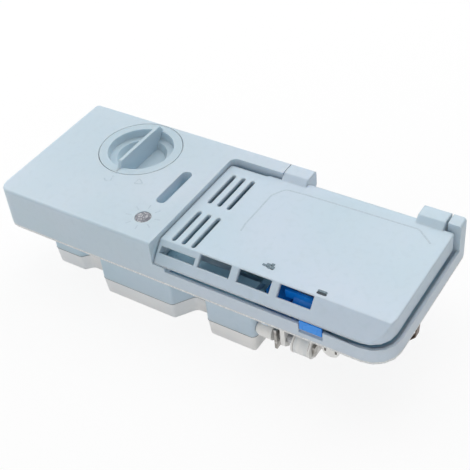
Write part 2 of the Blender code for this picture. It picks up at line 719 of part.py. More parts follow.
def add_block(housing):
    """Cuts the full-height body down to the block, the back strip, the ear and the rim."""
    far = LENGTH + OVERRUN
    over = TOP + OVERRUN
    above_ledge = prism("above_ledge", outline([
        (BLOCK_LENGTH, -OVERRUN, 0), (far, -OVERRUN, 0), (far, EAR_FRONT, 0),
        (LENGTH - EAR_LENGTH, EAR_FRONT, 0), (LENGTH - EAR_LENGTH, WIDTH + OVERRUN, 0),
        (STRIP_END, WIDTH + OVERRUN, 0), (STRIP_END, STRIP_FRONT, 0),
        (BLOCK_LENGTH, STRIP_FRONT, WELL_CORNER)]), LEDGE_TOP, over)
    above_rim = prism("above_rim", outline([
        (LEDGE_END, -OVERRUN, 0), (far, -OVERRUN, 0), (far, EAR_FRONT, 0),
        (LENGTH - EAR_LENGTH, EAR_FRONT, 0), (LENGTH - EAR_LENGTH, WIDTH + OVERRUN, 0),
        (STRIP_END, WIDTH + OVERRUN, 0), (STRIP_END, STRIP_FRONT, 0),
        (LEDGE_END, STRIP_FRONT, 0)]), RIM_TOP, over)
    gutter = prism("gutter", outline([
        (LEDGE_END + LIP, LIP, 0), (LENGTH - LIP, LIP, RIGHT_CORNER - LIP),
        (LENGTH - LIP, EAR_FRONT, 0), (LENGTH - EAR_LENGTH, EAR_FRONT, 0),
        (LENGTH - EAR_LENGTH, GUTTER_BACK, 0), (STRIP_END + WALL, GUTTER_BACK, 0),
        (STRIP_END + WALL, STRIP_FRONT - WALL, 0), (LEDGE_END + LIP, STRIP_FRONT - WALL, 0)]),
        GUTTER_FLOOR, over)
    left = BLOCK_LENGTH
    right = LENGTH - FLANGE_LAND
    core = prism("flange_core", outline([
        (left, FLANGE_LAND, WALL), (right, FLANGE_LAND, RIGHT_CORNER - FLANGE_LAND),
        (right, WIDTH - FLANGE_LAND, WALL), (STRIP_END + WALL, WIDTH - FLANGE_LAND, 0),
        (STRIP_END + WALL, STRIP_FRONT - WALL, 0), (left, STRIP_FRONT - WALL, WALL)]),
        FLANGE_LOW - OVERRUN, GUTTER_FLOOR - WALL)
    cut(housing, above_ledge, above_rim, gutter, core)


def add_tank(housing):
    """Walls of the rinse tank: wide inside the block, narrower below the panel."""
    join(housing, prism("tank_walls", tank_outline(), SEAM, FLANGE_LOW + WALL))


def add_cups(housing):
    """Main cup, sloping shelf and prewash compartment."""
    join(housing, prism("cup_walls", cup_outline(-WALL), CUP_FLOOR - WALL, CUP_RIM))
    shelf = [(SHELF_FRONT, POCKET_FLOOR), (PREWASH_FRONT, POCKET_FLOOR), (PREWASH_FRONT, GUTTER_FLOOR),
             (SHELF_FRONT + SHELF_LEVEL, SHELF_TOP), (SHELF_FRONT, SHELF_TOP)]
    join(housing, bar_x("shelf", shelf, BLOCK_LENGTH - WALL, SHELF_END))
    cut(housing, prism("cup_space", cup_outline(), CUP_FLOOR, CUP_RIM + OVERRUN, low_inset=CUP_SLOPE))
    strip_back = PREWASH_FRONT + PREWASH_STRIP
    column = PREWASH_LEFT + PREWASH_WIDTH
    space = outline([
        (PREWASH_LEFT, PREWASH_FRONT, PREWASH_CORNER), (PREWASH_RIGHT, PREWASH_FRONT, PREWASH_CORNER),
        (PREWASH_RIGHT, strip_back, PREWASH_CORNER), (column, strip_back, 0),
        (column, PREWASH_BACK, PREWASH_CORNER), (PREWASH_LEFT, PREWASH_BACK, PREWASH_CORNER)])
    cut(housing, prism("prewash_space", space, PREWASH_FLOOR, CUP_RIM))


def hollow_tank(housing):
    """The tank's inside, open at the seam, up into the block."""
    cut(housing, prism("tank_space", tank_outline(WALL), SEAM - OVERRUN, TANK_CEILING))
    left = TANK_LEFT + WALL + NECK_STEP
    right = BLOCK_LENGTH - WALL - NECK_STEP
    front = TANK_LEFT_RECESS + WALL + NECK_STEP
    back = TANK_BACK - WALL - NECK_STEP
    neck = outline([(left, front, TANK_CORNER), (right, front, TANK_CORNER),
                    (right, back, TANK_CORNER), (left, back, TANK_CORNER)])
    shelf = FLANGE_LOW + FLANGE_THICKNESS
    cut(housing, prism("tank_neck", neck, TANK_CEILING - WALL, shelf + WALL))
    upper = outline([
        (WALL, WALL, LEFT_CORNER - WALL), (BLOCK_LENGTH - WALL, WALL, TANK_CORNER),
        (BLOCK_LENGTH - WALL, WIDTH - WALL, TANK_CORNER), (WALL, WIDTH - WALL, TANK_INNER_CORNER)])
    cut(housing, prism("block_space", upper, shelf, TOP - WALL))
    strip = (STRIP_CORE_FRONT + STRIP_CORE_DEPTH)
    cut(housing, box("strip_core", (BLOCK_LENGTH + WALL, STRIP_CORE_FRONT, FLANGE_LOW - OVERRUN),
                     (STRIP_END - PIN_IN_STRIP - WALL, strip, STRIP_CORE_TOP)))


def add_throat(housing):
    """Filler throat with its cap seat and three notches for the cap's lugs."""
    seat_radius = CAP_RADIUS + CAP_GAP
    centre = (CAP_X, CAP_Y)
    join(housing, rod("throat", centre, seat_radius + THROAT_WALL, THROAT_LOW, TOP - EDGE_ROUND,
                      steps=WIDE_ROUND_STEPS))
    cut(housing,
        rod("cap_seat", centre, seat_radius, THROAT_SEAT, TOP + OVERRUN, steps=WIDE_ROUND_STEPS),
        rod("throat_bore", centre, THROAT_BORE, THROAT_LOW - OVERRUN, THROAT_SEAT + OVERRUN,
            steps=WIDE_ROUND_STEPS))
    reach = SKIRT_RADIUS + LUG_REACH + LUG_SPARE
    half = LUG_WIDTH / 2 + LUG_SPARE
    for index in range(LUG_COUNT):
        notch = box("lug_notch", (DISH_RADIUS, -half, THROAT_LOW - OVERRUN),
                    (reach, half, THROAT_SEAT + OVERRUN))
        notch.location = (CAP_X, CAP_Y, 0)
        notch.rotation_euler.z = CAP_TRAVEL + math.tau * index / LUG_COUNT
        cut(housing, notch)


def add_block_top(housing):
    """Lens hole and the blind rinse outlet."""
    cut(housing, rod("lens_hole", (LENS_X, LENS_Y), LENS_RADIUS + GAP, TOP - WALL - OVERRUN, TOP + OVERRUN))
    walled = stadium(OUTLET_X, OUTLET_FRONT - OUTLET_WALL, OUTLET_BACK + OUTLET_WALL,
                     OUTLET_WIDTH + 2 * OUTLET_WALL)
    floor = TOP - OUTLET_DEPTH
    join(housing, prism("outlet_walls", walled, floor - OUTLET_WALL, TOP - EDGE_ROUND))
    cut(housing, prism("outlet", stadium(OUTLET_X, OUTLET_FRONT, OUTLET_BACK, OUTLET_WIDTH), floor,
                       TOP + OVERRUN))


def add_latch_seat(housing):
    """Pocket, tail slot, pin ears and the recess behind the finger tab."""
    join(housing, box("latch_pocket_walls", (POCKET_LEFT - WALL, LIP, FLANGE_LOW),
                      (POCKET_RIGHT + WALL, CUP_FRONT, GUTTER_FLOOR - WALL / 2)))
    cut(housing, box("latch_pocket", (POCKET_LEFT, POCKET_FRONT, POCKET_FLOOR),
                     (POCKET_RIGHT, POCKET_BACK, CUP_RIM)))
    recess_left = TAB_LEFT - TAB_SIDE_GAP
    recess_right = TAB_RIGHT + TAB_SIDE_GAP
    join(housing, box("tab_guard", (recess_left - WALL, LIP / 2, FLANGE_LOW + WALL),
                      (recess_right + WALL, GUARD_BACK, GUARD_TOP)))
    cut(housing,
        box("tab_recess", (recess_left, -OVERRUN, TAB_RECESS_LOW), (recess_right, TAB_RECESS, TOP)),
        box("lip_notch", (recess_left, -OVERRUN, GUARD_TOP), (recess_right, GUARD_BACK + OVERRUN, TOP)))
    for side, left in (("left", LATCH_LEFT - LATCH_SIDE_GAP - LATCH_EAR),
                       ("right", LATCH_RIGHT + LATCH_SIDE_GAP)):
        join(housing, box("latch_ear_" + side, (left, PIVOT_Y - LATCH_EAR_HALF, POCKET_FLOOR - WALL / 2),
                          (left + LATCH_EAR, PIVOT_Y + LATCH_EAR_HALF, LATCH_EAR_TOP)))
    cut(housing, rod("latch_pin_hole", (PIVOT_Y, PIVOT_Z), LATCH_PIN_RADIUS + PIN_GAP,
                     LATCH_LEFT - LATCH_SIDE_GAP - LATCH_EAR + WALL / 2,
                     LATCH_RIGHT + LATCH_SIDE_GAP + LATCH_EAR + OVERRUN, axis="X", steps=16))
    swing = (PIVOT_Z - FLANGE_LOW) * math.sin(LATCH_TRAVEL)
    reach = TAIL_RADIUS + TAIL_SPARE
    cut(housing, box("tail_slot", (TAIL_X - reach, PIVOT_Y - reach, FLANGE_LOW - OVERRUN),
                     (TAIL_X + reach, PIVOT_Y + swing + reach, POCKET_FLOOR + OVERRUN)))


def add_hinge_seats(housing):
    """Blind pin holes in the back strip and in the ear."""
    centre = (HINGE_Y, HINGE_Z)
    radius = PIN_RADIUS + PIN_GAP
    depth = PIN_IN_STRIP + PIN_HOLE_SPARE
    cut(housing,
        rod("left_pin_hole", centre, radius, STRIP_END - depth, STRIP_END + OVERRUN, axis="X"),
        rod("right_pin_hole", centre, radius, LENGTH - EAR_LENGTH - OVERRUN,
            LENGTH - EAR_LENGTH + PIN_IN_EAR + PIN_HOLE_SPARE, axis="X"))


def add_underside(housing):
    """Valve port, barrel saddle, screw holes and clip ribs."""
    cut(housing, rod("valve_port", (AXIS_Y, AXIS_Z), VALVE_PORT, TANK_RIGHT - WALL - OVERRUN,
                     TANK_RIGHT + OVERRUN, axis="X"))
    join(housing, box("barrel_saddle", (SADDLE_LEFT, AXIS_Y - SADDLE_WIDTH / 2, AXIS_Z + BARREL_RADIUS + GAP),
                      (SADDLE_LEFT + SADDLE_LENGTH, AXIS_Y + SADDLE_WIDTH / 2, FLANGE_LOW + WALL / 2)))
    for x in SCREW_X:
        cut(housing, rod("screw_hole", (x, SCREW_Y), SCREW_RADIUS + SCREW_GAP, FLANGE_LOW - OVERRUN,
                         FLANGE_LOW + SCREW_LENGTH - SCREW_HEAD_HEIGHT, steps=16))
    half = CLIP_RIB_LENGTH / 2
    for x, y, top in ((CLIP_LEFT_X, CLIP_LEFT_Y, FLANGE_LOW + FLANGE_THICKNESS / 2),
                      (CLIP_RIGHT_X, CLIP_RIGHT_Y, GUTTER_FLOOR - WALL / 2)):
        join(housing, box("clip_rib", (x - CLIP_RIB_THICKNESS / 2, y - half, CLIP_RIB_LOW),
                          (x + CLIP_RIB_THICKNESS / 2, y + half, top)))


def make_housing(look):
    housing = prism("housing", housing_outline(), FLANGE_LOW, TOP, top_round=EDGE_ROUND)
    add_block(housing)
    add_tank(housing)
    add_cups(housing)
    hollow_tank(housing)
    add_throat(housing)
    add_block_top(housing)
    add_latch_seat(housing)
    add_hinge_seats(housing)
    add_underside(housing)
    return node(housing, "housing", look)


def make_gasket(look):
    gasket = prism("flange_gasket", housing_outline(GASKET_INSET), SEAT, SEAT + GASKET_THICKNESS)
    cut(gasket, prism("gasket_inside", housing_outline(GASKET_INSET + GASKET_WIDTH), SEAT - OVERRUN, TOP))
    return node(gasket, "flange_gasket", look)


def make_reservoir_cover(look):
    """Shell under the tank, with the post that carries the dose knob."""
    cover = prism("reservoir_cover", tank_outline(), 0, SEAM - GAP,
                  low_inset=COVER_DRAFT, low_round=COVER_ROUND)
    cut(cover, prism("cover_space", tank_outline(COVER_WALL), COVER_WALL, SEAM + OVERRUN,
                     low_inset=COVER_DRAFT))
    join(cover, rod("knob_post", (CAP_X, CAP_Y), POST_RADIUS, COVER_WALL / 2, POST_TOP))
    cut(cover, rod("knob_bore", (CAP_X, CAP_Y), KNOB_STEM + RUNNING_GAP, POST_TOP - KNOB_STEM_LENGTH - GAP,
                   POST_TOP + OVERRUN))
    return node(cover, "reservoir_cover", look)


def slope_point(height, depth=0):
    """Point (y, z) of the lid's sloping front at a height, then some way in along its normal."""
    run = LID_SLOPE_BACK - LID_FRONT
    rise = LID_TOP - LID_EDGE
    length = math.hypot(run, rise)
    y = LID_FRONT + run * (height - LID_EDGE) / rise
    return y + rise / length * depth, height - run / length * depth


def slope_cutter(name, depth):
    """Wedge above the lid's sloping front, moved inwards by a wall's thickness."""
    foot = slope_point(LID_EDGE - OVERRUN, depth)
    head = slope_point(LID_TOP + OVERRUN, depth)
    return bar_x(name, [foot, head, (foot[0], head[1])], LID_LEFT - OVERRUN, LID_RIGHT + OVERRUN)


def lid_outline(inwards=0):
    corners = [
        (LID_LEFT, LID_FRONT, LID_SMALL_CORNER), (LID_RIGHT, LID_FRONT, LID_CORNER),
        (LID_RIGHT, LID_BACK_RIGHT, LID_SMALL_CORNER), (RIGHT_ARM + ARM_WIDTH, LID_BACK_RIGHT, 0),
        (RIGHT_ARM + ARM_WIDTH, LID_BACK, 0), (LEFT_ARM, LID_BACK, 0), (LEFT_ARM, LID_STEP_BACK, 0),
        (LID_STEP_X + LID_SMALL_CORNER, LID_STEP_BACK, 0), (LID_STEP_X, LID_BACK_LEFT, 0),
        (LID_LEFT, LID_BACK_LEFT, LID_SMALL_CORNER)]
    return outline(corners, inwards)


def arm_outline():
    """Side view of a hinge arm: it rises from the lid's top to the block's top."""
    return outline([
        (ARM_ROOT, LID_TOP - LID_WALL / 2, 0), (LID_BACK - LID_WALL, LID_TOP - LID_WALL, 0),
        (LID_BACK - LID_WALL, ARM_LOW, ARM_ROUND), (WIDTH, ARM_LOW, ARM_ROUND),
        (WIDTH, TOP, EDGE_ROUND), (LID_BACK, TOP, 0)])


def make_lid(look):
    """Lid shell with vents, windows, arms, seal rib and catch."""
    lid = prism("lid", lid_outline(), LID_EDGE, LID_TOP)
    cut(lid, slope_cutter("lid_slope", 0))
    inside = prism("lid_inside", lid_outline(LID_WALL), LID_EDGE - OVERRUN, LID_TOP - LID_WALL)
    cut(inside, slope_cutter("inside_slope", LID_WALL))
    cut(lid, inside)
    join(lid, bar_x("left_arm", arm_outline(), LEFT_ARM, LEFT_ARM + ARM_WIDTH),
         bar_x("right_arm", arm_outline(), RIGHT_ARM, RIGHT_ARM + ARM_WIDTH))
    for index in range(SLOT_COUNT):
        x = SLOT_LEFT + index * SLOT_PITCH
        for front, back in SLOT_ROWS:
            cut(lid, prism("vent", stadium(x, front, back, SLOT_WIDTH), LID_TOP - LID_WALL - OVERRUN,
                           LID_TOP + OVERRUN))
    windows = [(SMALL_WINDOW_LEFT, SMALL_WINDOW_WIDTH, SMALL_WINDOW_TOP)]
    for index in range(WINDOW_COUNT):
        windows.append((WINDOW_LEFT + index * WINDOW_PITCH, WINDOW_WIDTH, WINDOW_TOP))
    for left, width, top in windows:
        frame = [slope_point(WINDOW_SILL, -OVERRUN), slope_point(WINDOW_SILL, LID_WALL + OVERRUN),
                 slope_point(top, LID_WALL + OVERRUN), slope_point(top, -OVERRUN)]
        cut(lid, bar_x("window", frame, left, left + width))
    rib_low = LID_TOP - LID_WALL - SEAL_RIB_HEIGHT
    spread = (LID_SEAL_WIDTH - WALL) / 2 + WALL + GAP
    rib = prism("seal_rib", cup_outline(-spread - SEAL_RIB), rib_low, LID_TOP - LID_WALL / 2)
    cut(rib, prism("seal_rib_inside", cup_outline(-spread), rib_low - OVERRUN, LID_TOP - LID_WALL))
    join(lid, rib)
    catch = [(CATCH_TOE, CATCH_LOW), (CATCH_LEG + CATCH_LEG_THICKNESS, CATCH_LOW),
             (CATCH_LEG + CATCH_LEG_THICKNESS, LID_TOP - LID_WALL / 2), (CATCH_LEG, LID_TOP - LID_WALL / 2),
             (CATCH_LEG, CATCH_LOW + CATCH_TOE_HEIGHT), (CATCH_TOE, CATCH_LOW + CATCH_TOE_HEIGHT)]
    join(lid, bar_x("catch", catch, CATCH_LEFT, CATCH_LEFT + CATCH_WIDTH))
    cut(lid,
        box("spring_pocket", (LEFT_ARM + SPRING_POCKET_WALL, HINGE_Y - SPRING_SPACE, ARM_LOW - OVERRUN),
            (LEFT_ARM + SPRING_POCKET_WALL + SPRING_POCKET_LENGTH, HINGE_Y + SPRING_SPACE,
             HINGE_Z + SPRING_SPACE)),
        rod("arm_pin_hole_left", (HINGE_Y, HINGE_Z), PIN_RADIUS + PIN_GAP, LEFT_ARM - OVERRUN,
            LEFT_ARM + PIN_IN_ARM + SPRING_POCKET_WALL, axis="X"),
        rod("arm_pin_hole_right", (HINGE_Y, HINGE_Z), PIN_RADIUS + PIN_GAP,
            RIGHT_ARM + ARM_WIDTH - PIN_IN_ARM - PIN_HOLE_SPARE, RIGHT_ARM + ARM_WIDTH + OVERRUN, axis="X"))
    return node(lid, "lid", look, origin=(LEFT_ARM, HINGE_Y, HINGE_Z))


def make_lid_seal(look):
    half = (LID_SEAL_WIDTH - WALL) / 2
    low = CUP_RIM + GAP
    high = LID_TOP - LID_WALL - GAP
    seal = prism("lid_seal", cup_outline(-WALL - half), low, high)
    cut(seal, prism("lid_seal_inside", cup_outline(half), low - OVERRUN, high + OVERRUN))
    return node(seal, "lid_seal", look)


def make_hinge_pins(look):
    centre = (HINGE_Y, HINGE_Z)
    left = rod("hinge_pin_left", centre, PIN_RADIUS, STRIP_END - PIN_IN_STRIP,
               LEFT_ARM + PIN_IN_ARM + SPRING_POCKET_WALL - PIN_HOLE_SPARE, axis="X")
    right = rod("hinge_pin_right", centre, PIN_RADIUS, RIGHT_ARM + ARM_WIDTH - PIN_IN_ARM,
                LENGTH - EAR_LENGTH + PIN_IN_EAR, axis="X")
    node(left, "hinge_pin_left", look)
    node(right, "hinge_pin_right", look)


def coil(centre, radius, pitch, turns, along_x):
    """Points of a helix along X or Z from a start point on its axis."""
    points = []
    for step in range(turns * COIL_STEPS + 1):
        angle = math.tau * step / COIL_STEPS
        run = pitch * step / COIL_STEPS
        spoke = (radius * math.cos(angle), radius * math.sin(angle))
        if along_x:
            points.append((centre[0] + run, centre[1] + spoke[0], centre[2] + spoke[1]))
        else:
            points.append((centre[0] + spoke[0], centre[1] + spoke[1], centre[2] + run))
    return points


def make_lid_spring(look):
    """Torsion spring on the left pin: one leg on the rim, one under the lid."""
    length = LID_SPRING_TURNS * LID_SPRING_PITCH
    start = LEFT_ARM + SPRING_POCKET_WALL + (SPRING_POCKET_LENGTH - length) / 2
    turns = coil((start, HINGE_Y, HINGE_Z), LID_SPRING_RADIUS, LID_SPRING_PITCH, LID_SPRING_TURNS, True)
    foot = (start, HINGE_Y + LID_SPRING_RADIUS, LID_SPRING_FOOT)
    reach = (start + length, HINGE_Y + LID_SPRING_RADIUS, HINGE_Z - LID_SPRING_REACH)
    return node(wire("lid_spring", [foot, *turns, reach], LID_SPRING_WIRE), "lid_spring", look)


def latch_profiles():
    """Side views of the latch lever as (outline, left, right)."""
    back_of_tab = TAB_FRONT + TAB_THICKNESS
    arm = [(TAB_FRONT, TAB_LOW), (back_of_tab, TAB_LOW), (back_of_tab, TAB_ARM_LOW),
           (PIVOT_Y - LATCH_HUB, TAB_ARM_LOW), (PIVOT_Y, PIVOT_Z), (PIVOT_Y, TAB_HIGH), (TAB_FRONT, TAB_HIGH)]
    wide_tab = [(TAB_FRONT, TAB_LOW), (back_of_tab, TAB_LOW), (back_of_tab, TAB_HIGH), (TAB_FRONT, TAB_HIGH)]
    nose = [(PIVOT_Y, PIVOT_Z), (NOSE_LEG_BACK, PIVOT_Z + LATCH_HUB), (NOSE_LEG_BACK, NOSE_LOW),
            (NOSE_TIP, NOSE_LOW), (NOSE_LEG_BACK, NOSE_HIGH), (NOSE_FRONT, NOSE_HIGH), (PIVOT_Y, TAB_HIGH)]
    crest_back = NOSE_FRONT + CREST_THICKNESS
    crest = [(NOSE_FRONT, NOSE_LOW), (crest_back, NOSE_LOW), (crest_back, CREST_TOP), (NOSE_FRONT, CREST_TOP)]
    return ((arm, TAB_LEFT, LATCH_RIGHT), (wide_tab, LATCH_RIGHT - WALL, TAB_RIGHT),
            (nose, NOSE_LEFT, NOSE_LEFT + NOSE_WIDTH), (crest, CREST_LEFT, CREST_LEFT + CREST_WIDTH))


def make_latch(look):
    """Rocking lever: finger tab in front, nose over the lid's catch, tail down to the slider."""
    latch = rod("latch_lever", (PIVOT_Y, PIVOT_Z), LATCH_HUB, LATCH_LEFT, LATCH_RIGHT, axis="X")
    for points, left, right in latch_profiles():
        join(latch, bar_x("latch_web", points, left, right))
    bridge = [(PIVOT_Y - LATCH_HUB / 2, PIVOT_Z), (PIVOT_Y + LATCH_HUB / 2, PIVOT_Z),
              (PIVOT_Y + LATCH_HUB / 2, WING_HIGH - WALL / 4),
              (PIVOT_Y - LATCH_HUB / 2, WING_HIGH - WALL / 4)]
    join(latch, bar_x("latch_bridge", bridge, LATCH_LEFT + WALL / 4, LATCH_RIGHT - WALL / 4))
    front = PIVOT_Y - LATCH_HUB
    wing = outline([
        (LATCH_LEFT + WING_CORNER, front, 0), (WING_RIGHT, front, 0), (WING_RIGHT, WING_BACK, WALL),
        (LATCH_LEFT, WING_BACK, WALL), (LATCH_LEFT, front + WING_CORNER, 0)])
    join(latch, prism("latch_wing", wing, WING_LOW, WING_HIGH))
    join(latch, rod("latch_tail", (TAIL_X, PIVOT_Y), TAIL_RADIUS, TAIL_LOW, PIVOT_Z, steps=16))
    cut(latch, rod("latch_bore", (PIVOT_Y, PIVOT_Z), LATCH_PIN_RADIUS + PIN_GAP, LATCH_LEFT - OVERRUN,
                   LATCH_RIGHT + OVERRUN, axis="X", steps=16))
    return node(latch, "latch_lever", look, origin=(TAIL_X, PIVOT_Y, PIVOT_Z))


def make_latch_pin(look):
    left = LATCH_LEFT - LATCH_SIDE_GAP - LATCH_EAR + WALL / 2 + PIN_GAP
    right = LATCH_RIGHT + LATCH_SIDE_GAP + LATCH_EAR
    pin = rod("latch_pin", (PIVOT_Y, PIVOT_Z), LATCH_PIN_RADIUS, left, right, axis="X", steps=16)
    return node(pin, "latch_pin", look)


def make_latch_spring(look):
    low = POCKET_FLOOR + GAP + LATCH_SPRING_WIRE / 2
    high = TAB_ARM_LOW - GAP - LATCH_SPRING_WIRE / 2
    pitch = (high - low) / LATCH_SPRING_TURNS
    points = coil((LATCH_SPRING_X, LATCH_SPRING_Y, low), LATCH_SPRING_RADIUS, pitch,
                  LATCH_SPRING_TURNS, False)
    return node(wire("latch_spring", points, LATCH_SPRING_WIRE), "latch_spring", look)


def make_cap(look):
    """Dished cap with a grip rib and three bayonet lugs under the throat."""
    ring_low = TOP - CAP_RING_THICKNESS
    skirt_inner = SKIRT_RADIUS - SKIRT_WALL
    profile = [
        (0, DISH_FLOOR), (DISH_FLOOR_RADIUS, DISH_FLOOR),
        (DISH_LEDGE_RADIUS - DISH_LEDGE_WIDTH, DISH_LEDGE), (DISH_WALL_RADIUS, DISH_LEDGE),
        (DISH_RADIUS, TOP), (CAP_RADIUS, TOP), (CAP_RADIUS, ring_low), (SKIRT_RADIUS, ring_low),
        (SKIRT_RADIUS, SKIRT_LOW), (skirt_inner, SKIRT_LOW), (skirt_inner, DISH_LEDGE - CAP_WALL),
        (DISH_LEDGE_RADIUS - DISH_LEDGE_WIDTH, DISH_LEDGE - CAP_WALL),
        (DISH_FLOOR_RADIUS, DISH_FLOOR - CAP_WALL), (0, DISH_FLOOR - CAP_WALL)]
    cap = turned("filler_cap", profile, (CAP_X, CAP_Y, 0), steps=WIDE_ROUND_STEPS)
    half = GRIP_HALF_LENGTH
    low = DISH_FLOOR - CAP_WALL / 2
    grip = [
        (CAP_Y - DISH_FLOOR_RADIUS, low), (CAP_Y + DISH_FLOOR_RADIUS, low),
        (CAP_Y + DISH_RADIUS, TOP - CAP_WALL / 2), (CAP_Y + half, TOP - CAP_WALL / 2),
        (CAP_Y + half - GRIP_RAMP, TOP + GRIP_RISE), (CAP_Y - half + GRIP_RAMP, TOP + GRIP_RISE),
        (CAP_Y - half, TOP - CAP_WALL / 2), (CAP_Y - DISH_RADIUS, TOP - CAP_WALL / 2)]
    join(cap, bar_x("cap_grip", grip, CAP_X - GRIP_THICKNESS / 2, CAP_X + GRIP_THICKNESS / 2))
    for index in range(LUG_COUNT):
        lug = box("cap_lug", (SKIRT_RADIUS - SKIRT_WALL / 2, -LUG_WIDTH / 2, SKIRT_LOW),
                  (SKIRT_RADIUS + LUG_REACH, LUG_WIDTH / 2, SKIRT_LOW + LUG_HEIGHT))
        lug.location = (CAP_X, CAP_Y, 0)
        lug.rotation_euler.z = math.tau * index / LUG_COUNT
        join(cap, lug)
    return node(cap, "filler_cap", look)


def make_cap_seal(look):
    low = THROAT_SEAT + GAP
    high = TOP - CAP_RING_THICKNESS - GAP
    profile = [(SEAL_OUTER, high), (SEAL_OUTER, low), (SEAL_INNER, low), (SEAL_INNER, high)]
    return node(turned("cap_seal", profile, (CAP_X, CAP_Y, 0), steps=WIDE_ROUND_STEPS), "cap_seal", look)


def make_dose_selector(look):
    """Knob on a stem, with a screwdriver slot."""
    stem_low = POST_TOP - KNOB_STEM_LENGTH
    profile = [(0, KNOB_HIGH), (KNOB_RADIUS, KNOB_HIGH), (KNOB_RADIUS, KNOB_LOW), (KNOB_STEM, KNOB_LOW),
               (KNOB_STEM, stem_low), (0, stem_low)]
    knob = turned("dose_selector", profile, (CAP_X, CAP_Y, 0))
    cut(knob, box("knob_slot", (CAP_X - KNOB_RADIUS / 2, CAP_Y - KNOB_SLOT / 2, KNOB_HIGH - KNOB_SLOT_DEPTH),
                  (CAP_X + KNOB_RADIUS / 2, CAP_Y + KNOB_SLOT / 2, KNOB_HIGH + OVERRUN)))
    return node(knob, "dose_selector", look)


def make_lens(look):
    flange_top = TOP - WALL - GAP
    flange_low = flange_top - LENS_FLANGE_THICKNESS
    profile = [(0, TOP), (LENS_RADIUS, TOP), (LENS_RADIUS, flange_top), (LENS_FLANGE, flange_top),
               (LENS_FLANGE, flange_low), (LENS_RADIUS, flange_low), (LENS_TIP_RADIUS, LENS_TIP),
               (0, LENS_TIP)]
    return node(turned("indicator_lens", profile, (LENS_X, LENS_Y, 0)), "indicator_lens", look)


def make_valve(barrel_look, stem_look, seal_look, spring_look):
    """Barrel on the tank's right wall, with the stem, rubber seal and spring inside it."""
    inner_end = BARREL_RIGHT - BARREL_END_WALL
    bend = BARREL_ROUND / 2
    profile = [
        (BARREL_RADIUS, BARREL_RIGHT), (BARREL_RADIUS, BARREL_LEFT + BARREL_ROUND),
        (BARREL_RADIUS - bend / 2, BARREL_LEFT + bend), (BARREL_RADIUS - bend, BARREL_LEFT),
        (BARREL_BORE, BARREL_LEFT), (BARREL_BORE, inner_end),
        (STEM_RADIUS + STEM_GAP, inner_end), (STEM_RADIUS + STEM_GAP, BARREL_RIGHT)]
    axis = (0, AXIS_Y, AXIS_Z)
    node(turned("valve_barrel", profile, axis, along_x=True), "valve_barrel", barrel_look)
    collar_right = STEM_LEFT + COLLAR_LENGTH
    stem_right = PLUNGER_LEFT - GAP
    stem = [(0, stem_right), (STEM_RADIUS, stem_right), (STEM_RADIUS, collar_right),
            (COLLAR_RADIUS, collar_right), (COLLAR_RADIUS, STEM_LEFT), (0, STEM_LEFT)]
    node(turned("valve_stem", stem, axis, along_x=True), "valve_stem", stem_look)
    seal_right = VALVE_SEAL_LEFT + VALVE_SEAL_THICKNESS
    seal = [(0, seal_right), (VALVE_SEAL_RADIUS, seal_right), (VALVE_SEAL_RADIUS, VALVE_SEAL_LEFT),
            (0, VALVE_SEAL_LEFT)]
    node(turned("valve_seal", seal, axis, along_x=True), "valve_seal", seal_look)
    start = collar_right + GAP + VALVE_SPRING_WIRE / 2
    end = inner_end - GAP - VALVE_SPRING_WIRE / 2
    points = coil((start, AXIS_Y, AXIS_Z), VALVE_SPRING_RADIUS, (end - start) / VALVE_SPRING_TURNS,
                  VALVE_SPRING_TURNS, True)
    node(wire("valve_spring", points, VALVE_SPRING_WIRE), "valve_spring", spring_look)


def make_yoke(look):
    """Bent steel bracket: two legs, a web, a strap and a tab under the housing."""
    web_front = YOKE_BACK - YOKE_SHEET
    tab_high = FLANGE_LOW - GAP
    yoke = box("solenoid_yoke", (YOKE_LEFT, web_front, YOKE_LOW), (YOKE_RIGHT, YOKE_BACK, YOKE_HIGH))
    join(yoke,
         box("left_leg", (YOKE_LEFT, YOKE_FRONT, YOKE_LOW),
             (YOKE_LEFT + YOKE_SHEET, YOKE_BACK, YOKE_HIGH)),
         box("right_leg", (YOKE_RIGHT - YOKE_SHEET, TONGUE_FRONT, AXIS_Z - TONGUE_HALF_HEIGHT),
             (YOKE_RIGHT, YOKE_BACK, AXIS_Z + TONGUE_HALF_HEIGHT)),
         box("strap", (STRAP_LEFT, web_front, STRAP_LOW), (STRAP_RIGHT, YOKE_BACK, tab_high)),
         box("tab_plate", (TAB_PLATE_LEFT, TAB_PLATE_FRONT, tab_high - YOKE_SHEET),
             (STRAP_RIGHT, YOKE_BACK, tab_high)))
    cut(yoke, rod("yoke_bore", (AXIS_Y, AXIS_Z), YOKE_BORE, YOKE_LEFT - OVERRUN,
                  YOKE_LEFT + YOKE_SHEET + OVERRUN, axis="X"))
    for x in SCREW_X:
        cut(yoke, rod("yoke_hole", (x, SCREW_Y), SCREW_RADIUS + SCREW_GAP, tab_high - YOKE_SHEET - OVERRUN,
                      tab_high + OVERRUN, steps=16))
    return node(yoke, "solenoid_yoke", look)


def make_screws(look):
    """The two yoke screws, as one group of separate solids."""
    head_top = FLANGE_LOW - GAP - YOKE_SHEET - GAP
    head_low = head_top - SCREW_HEAD_HEIGHT
    for number, x in enumerate(SCREW_X, 1):
        profile = [(0, head_low + SCREW_LENGTH), (SCREW_RADIUS, head_low + SCREW_LENGTH),
                   (SCREW_RADIUS, head_top), (SCREW_HEAD, head_top), (SCREW_HEAD, head_low), (0, head_low)]
        node(turned("yoke_screw", profile, (x, SCREW_Y, 0), steps=16), "yoke_screw_%d" % number, look)


def make_plunger(look):
    plunger = rod("solenoid_plunger", (AXIS_Y, AXIS_Z), PLUNGER_RADIUS, PLUNGER_LEFT, PLUNGER_RIGHT, axis="X")
    return node(plunger, "solenoid_plunger", look, origin=(PLUNGER_LEFT, AXIS_Y, AXIS_Z))


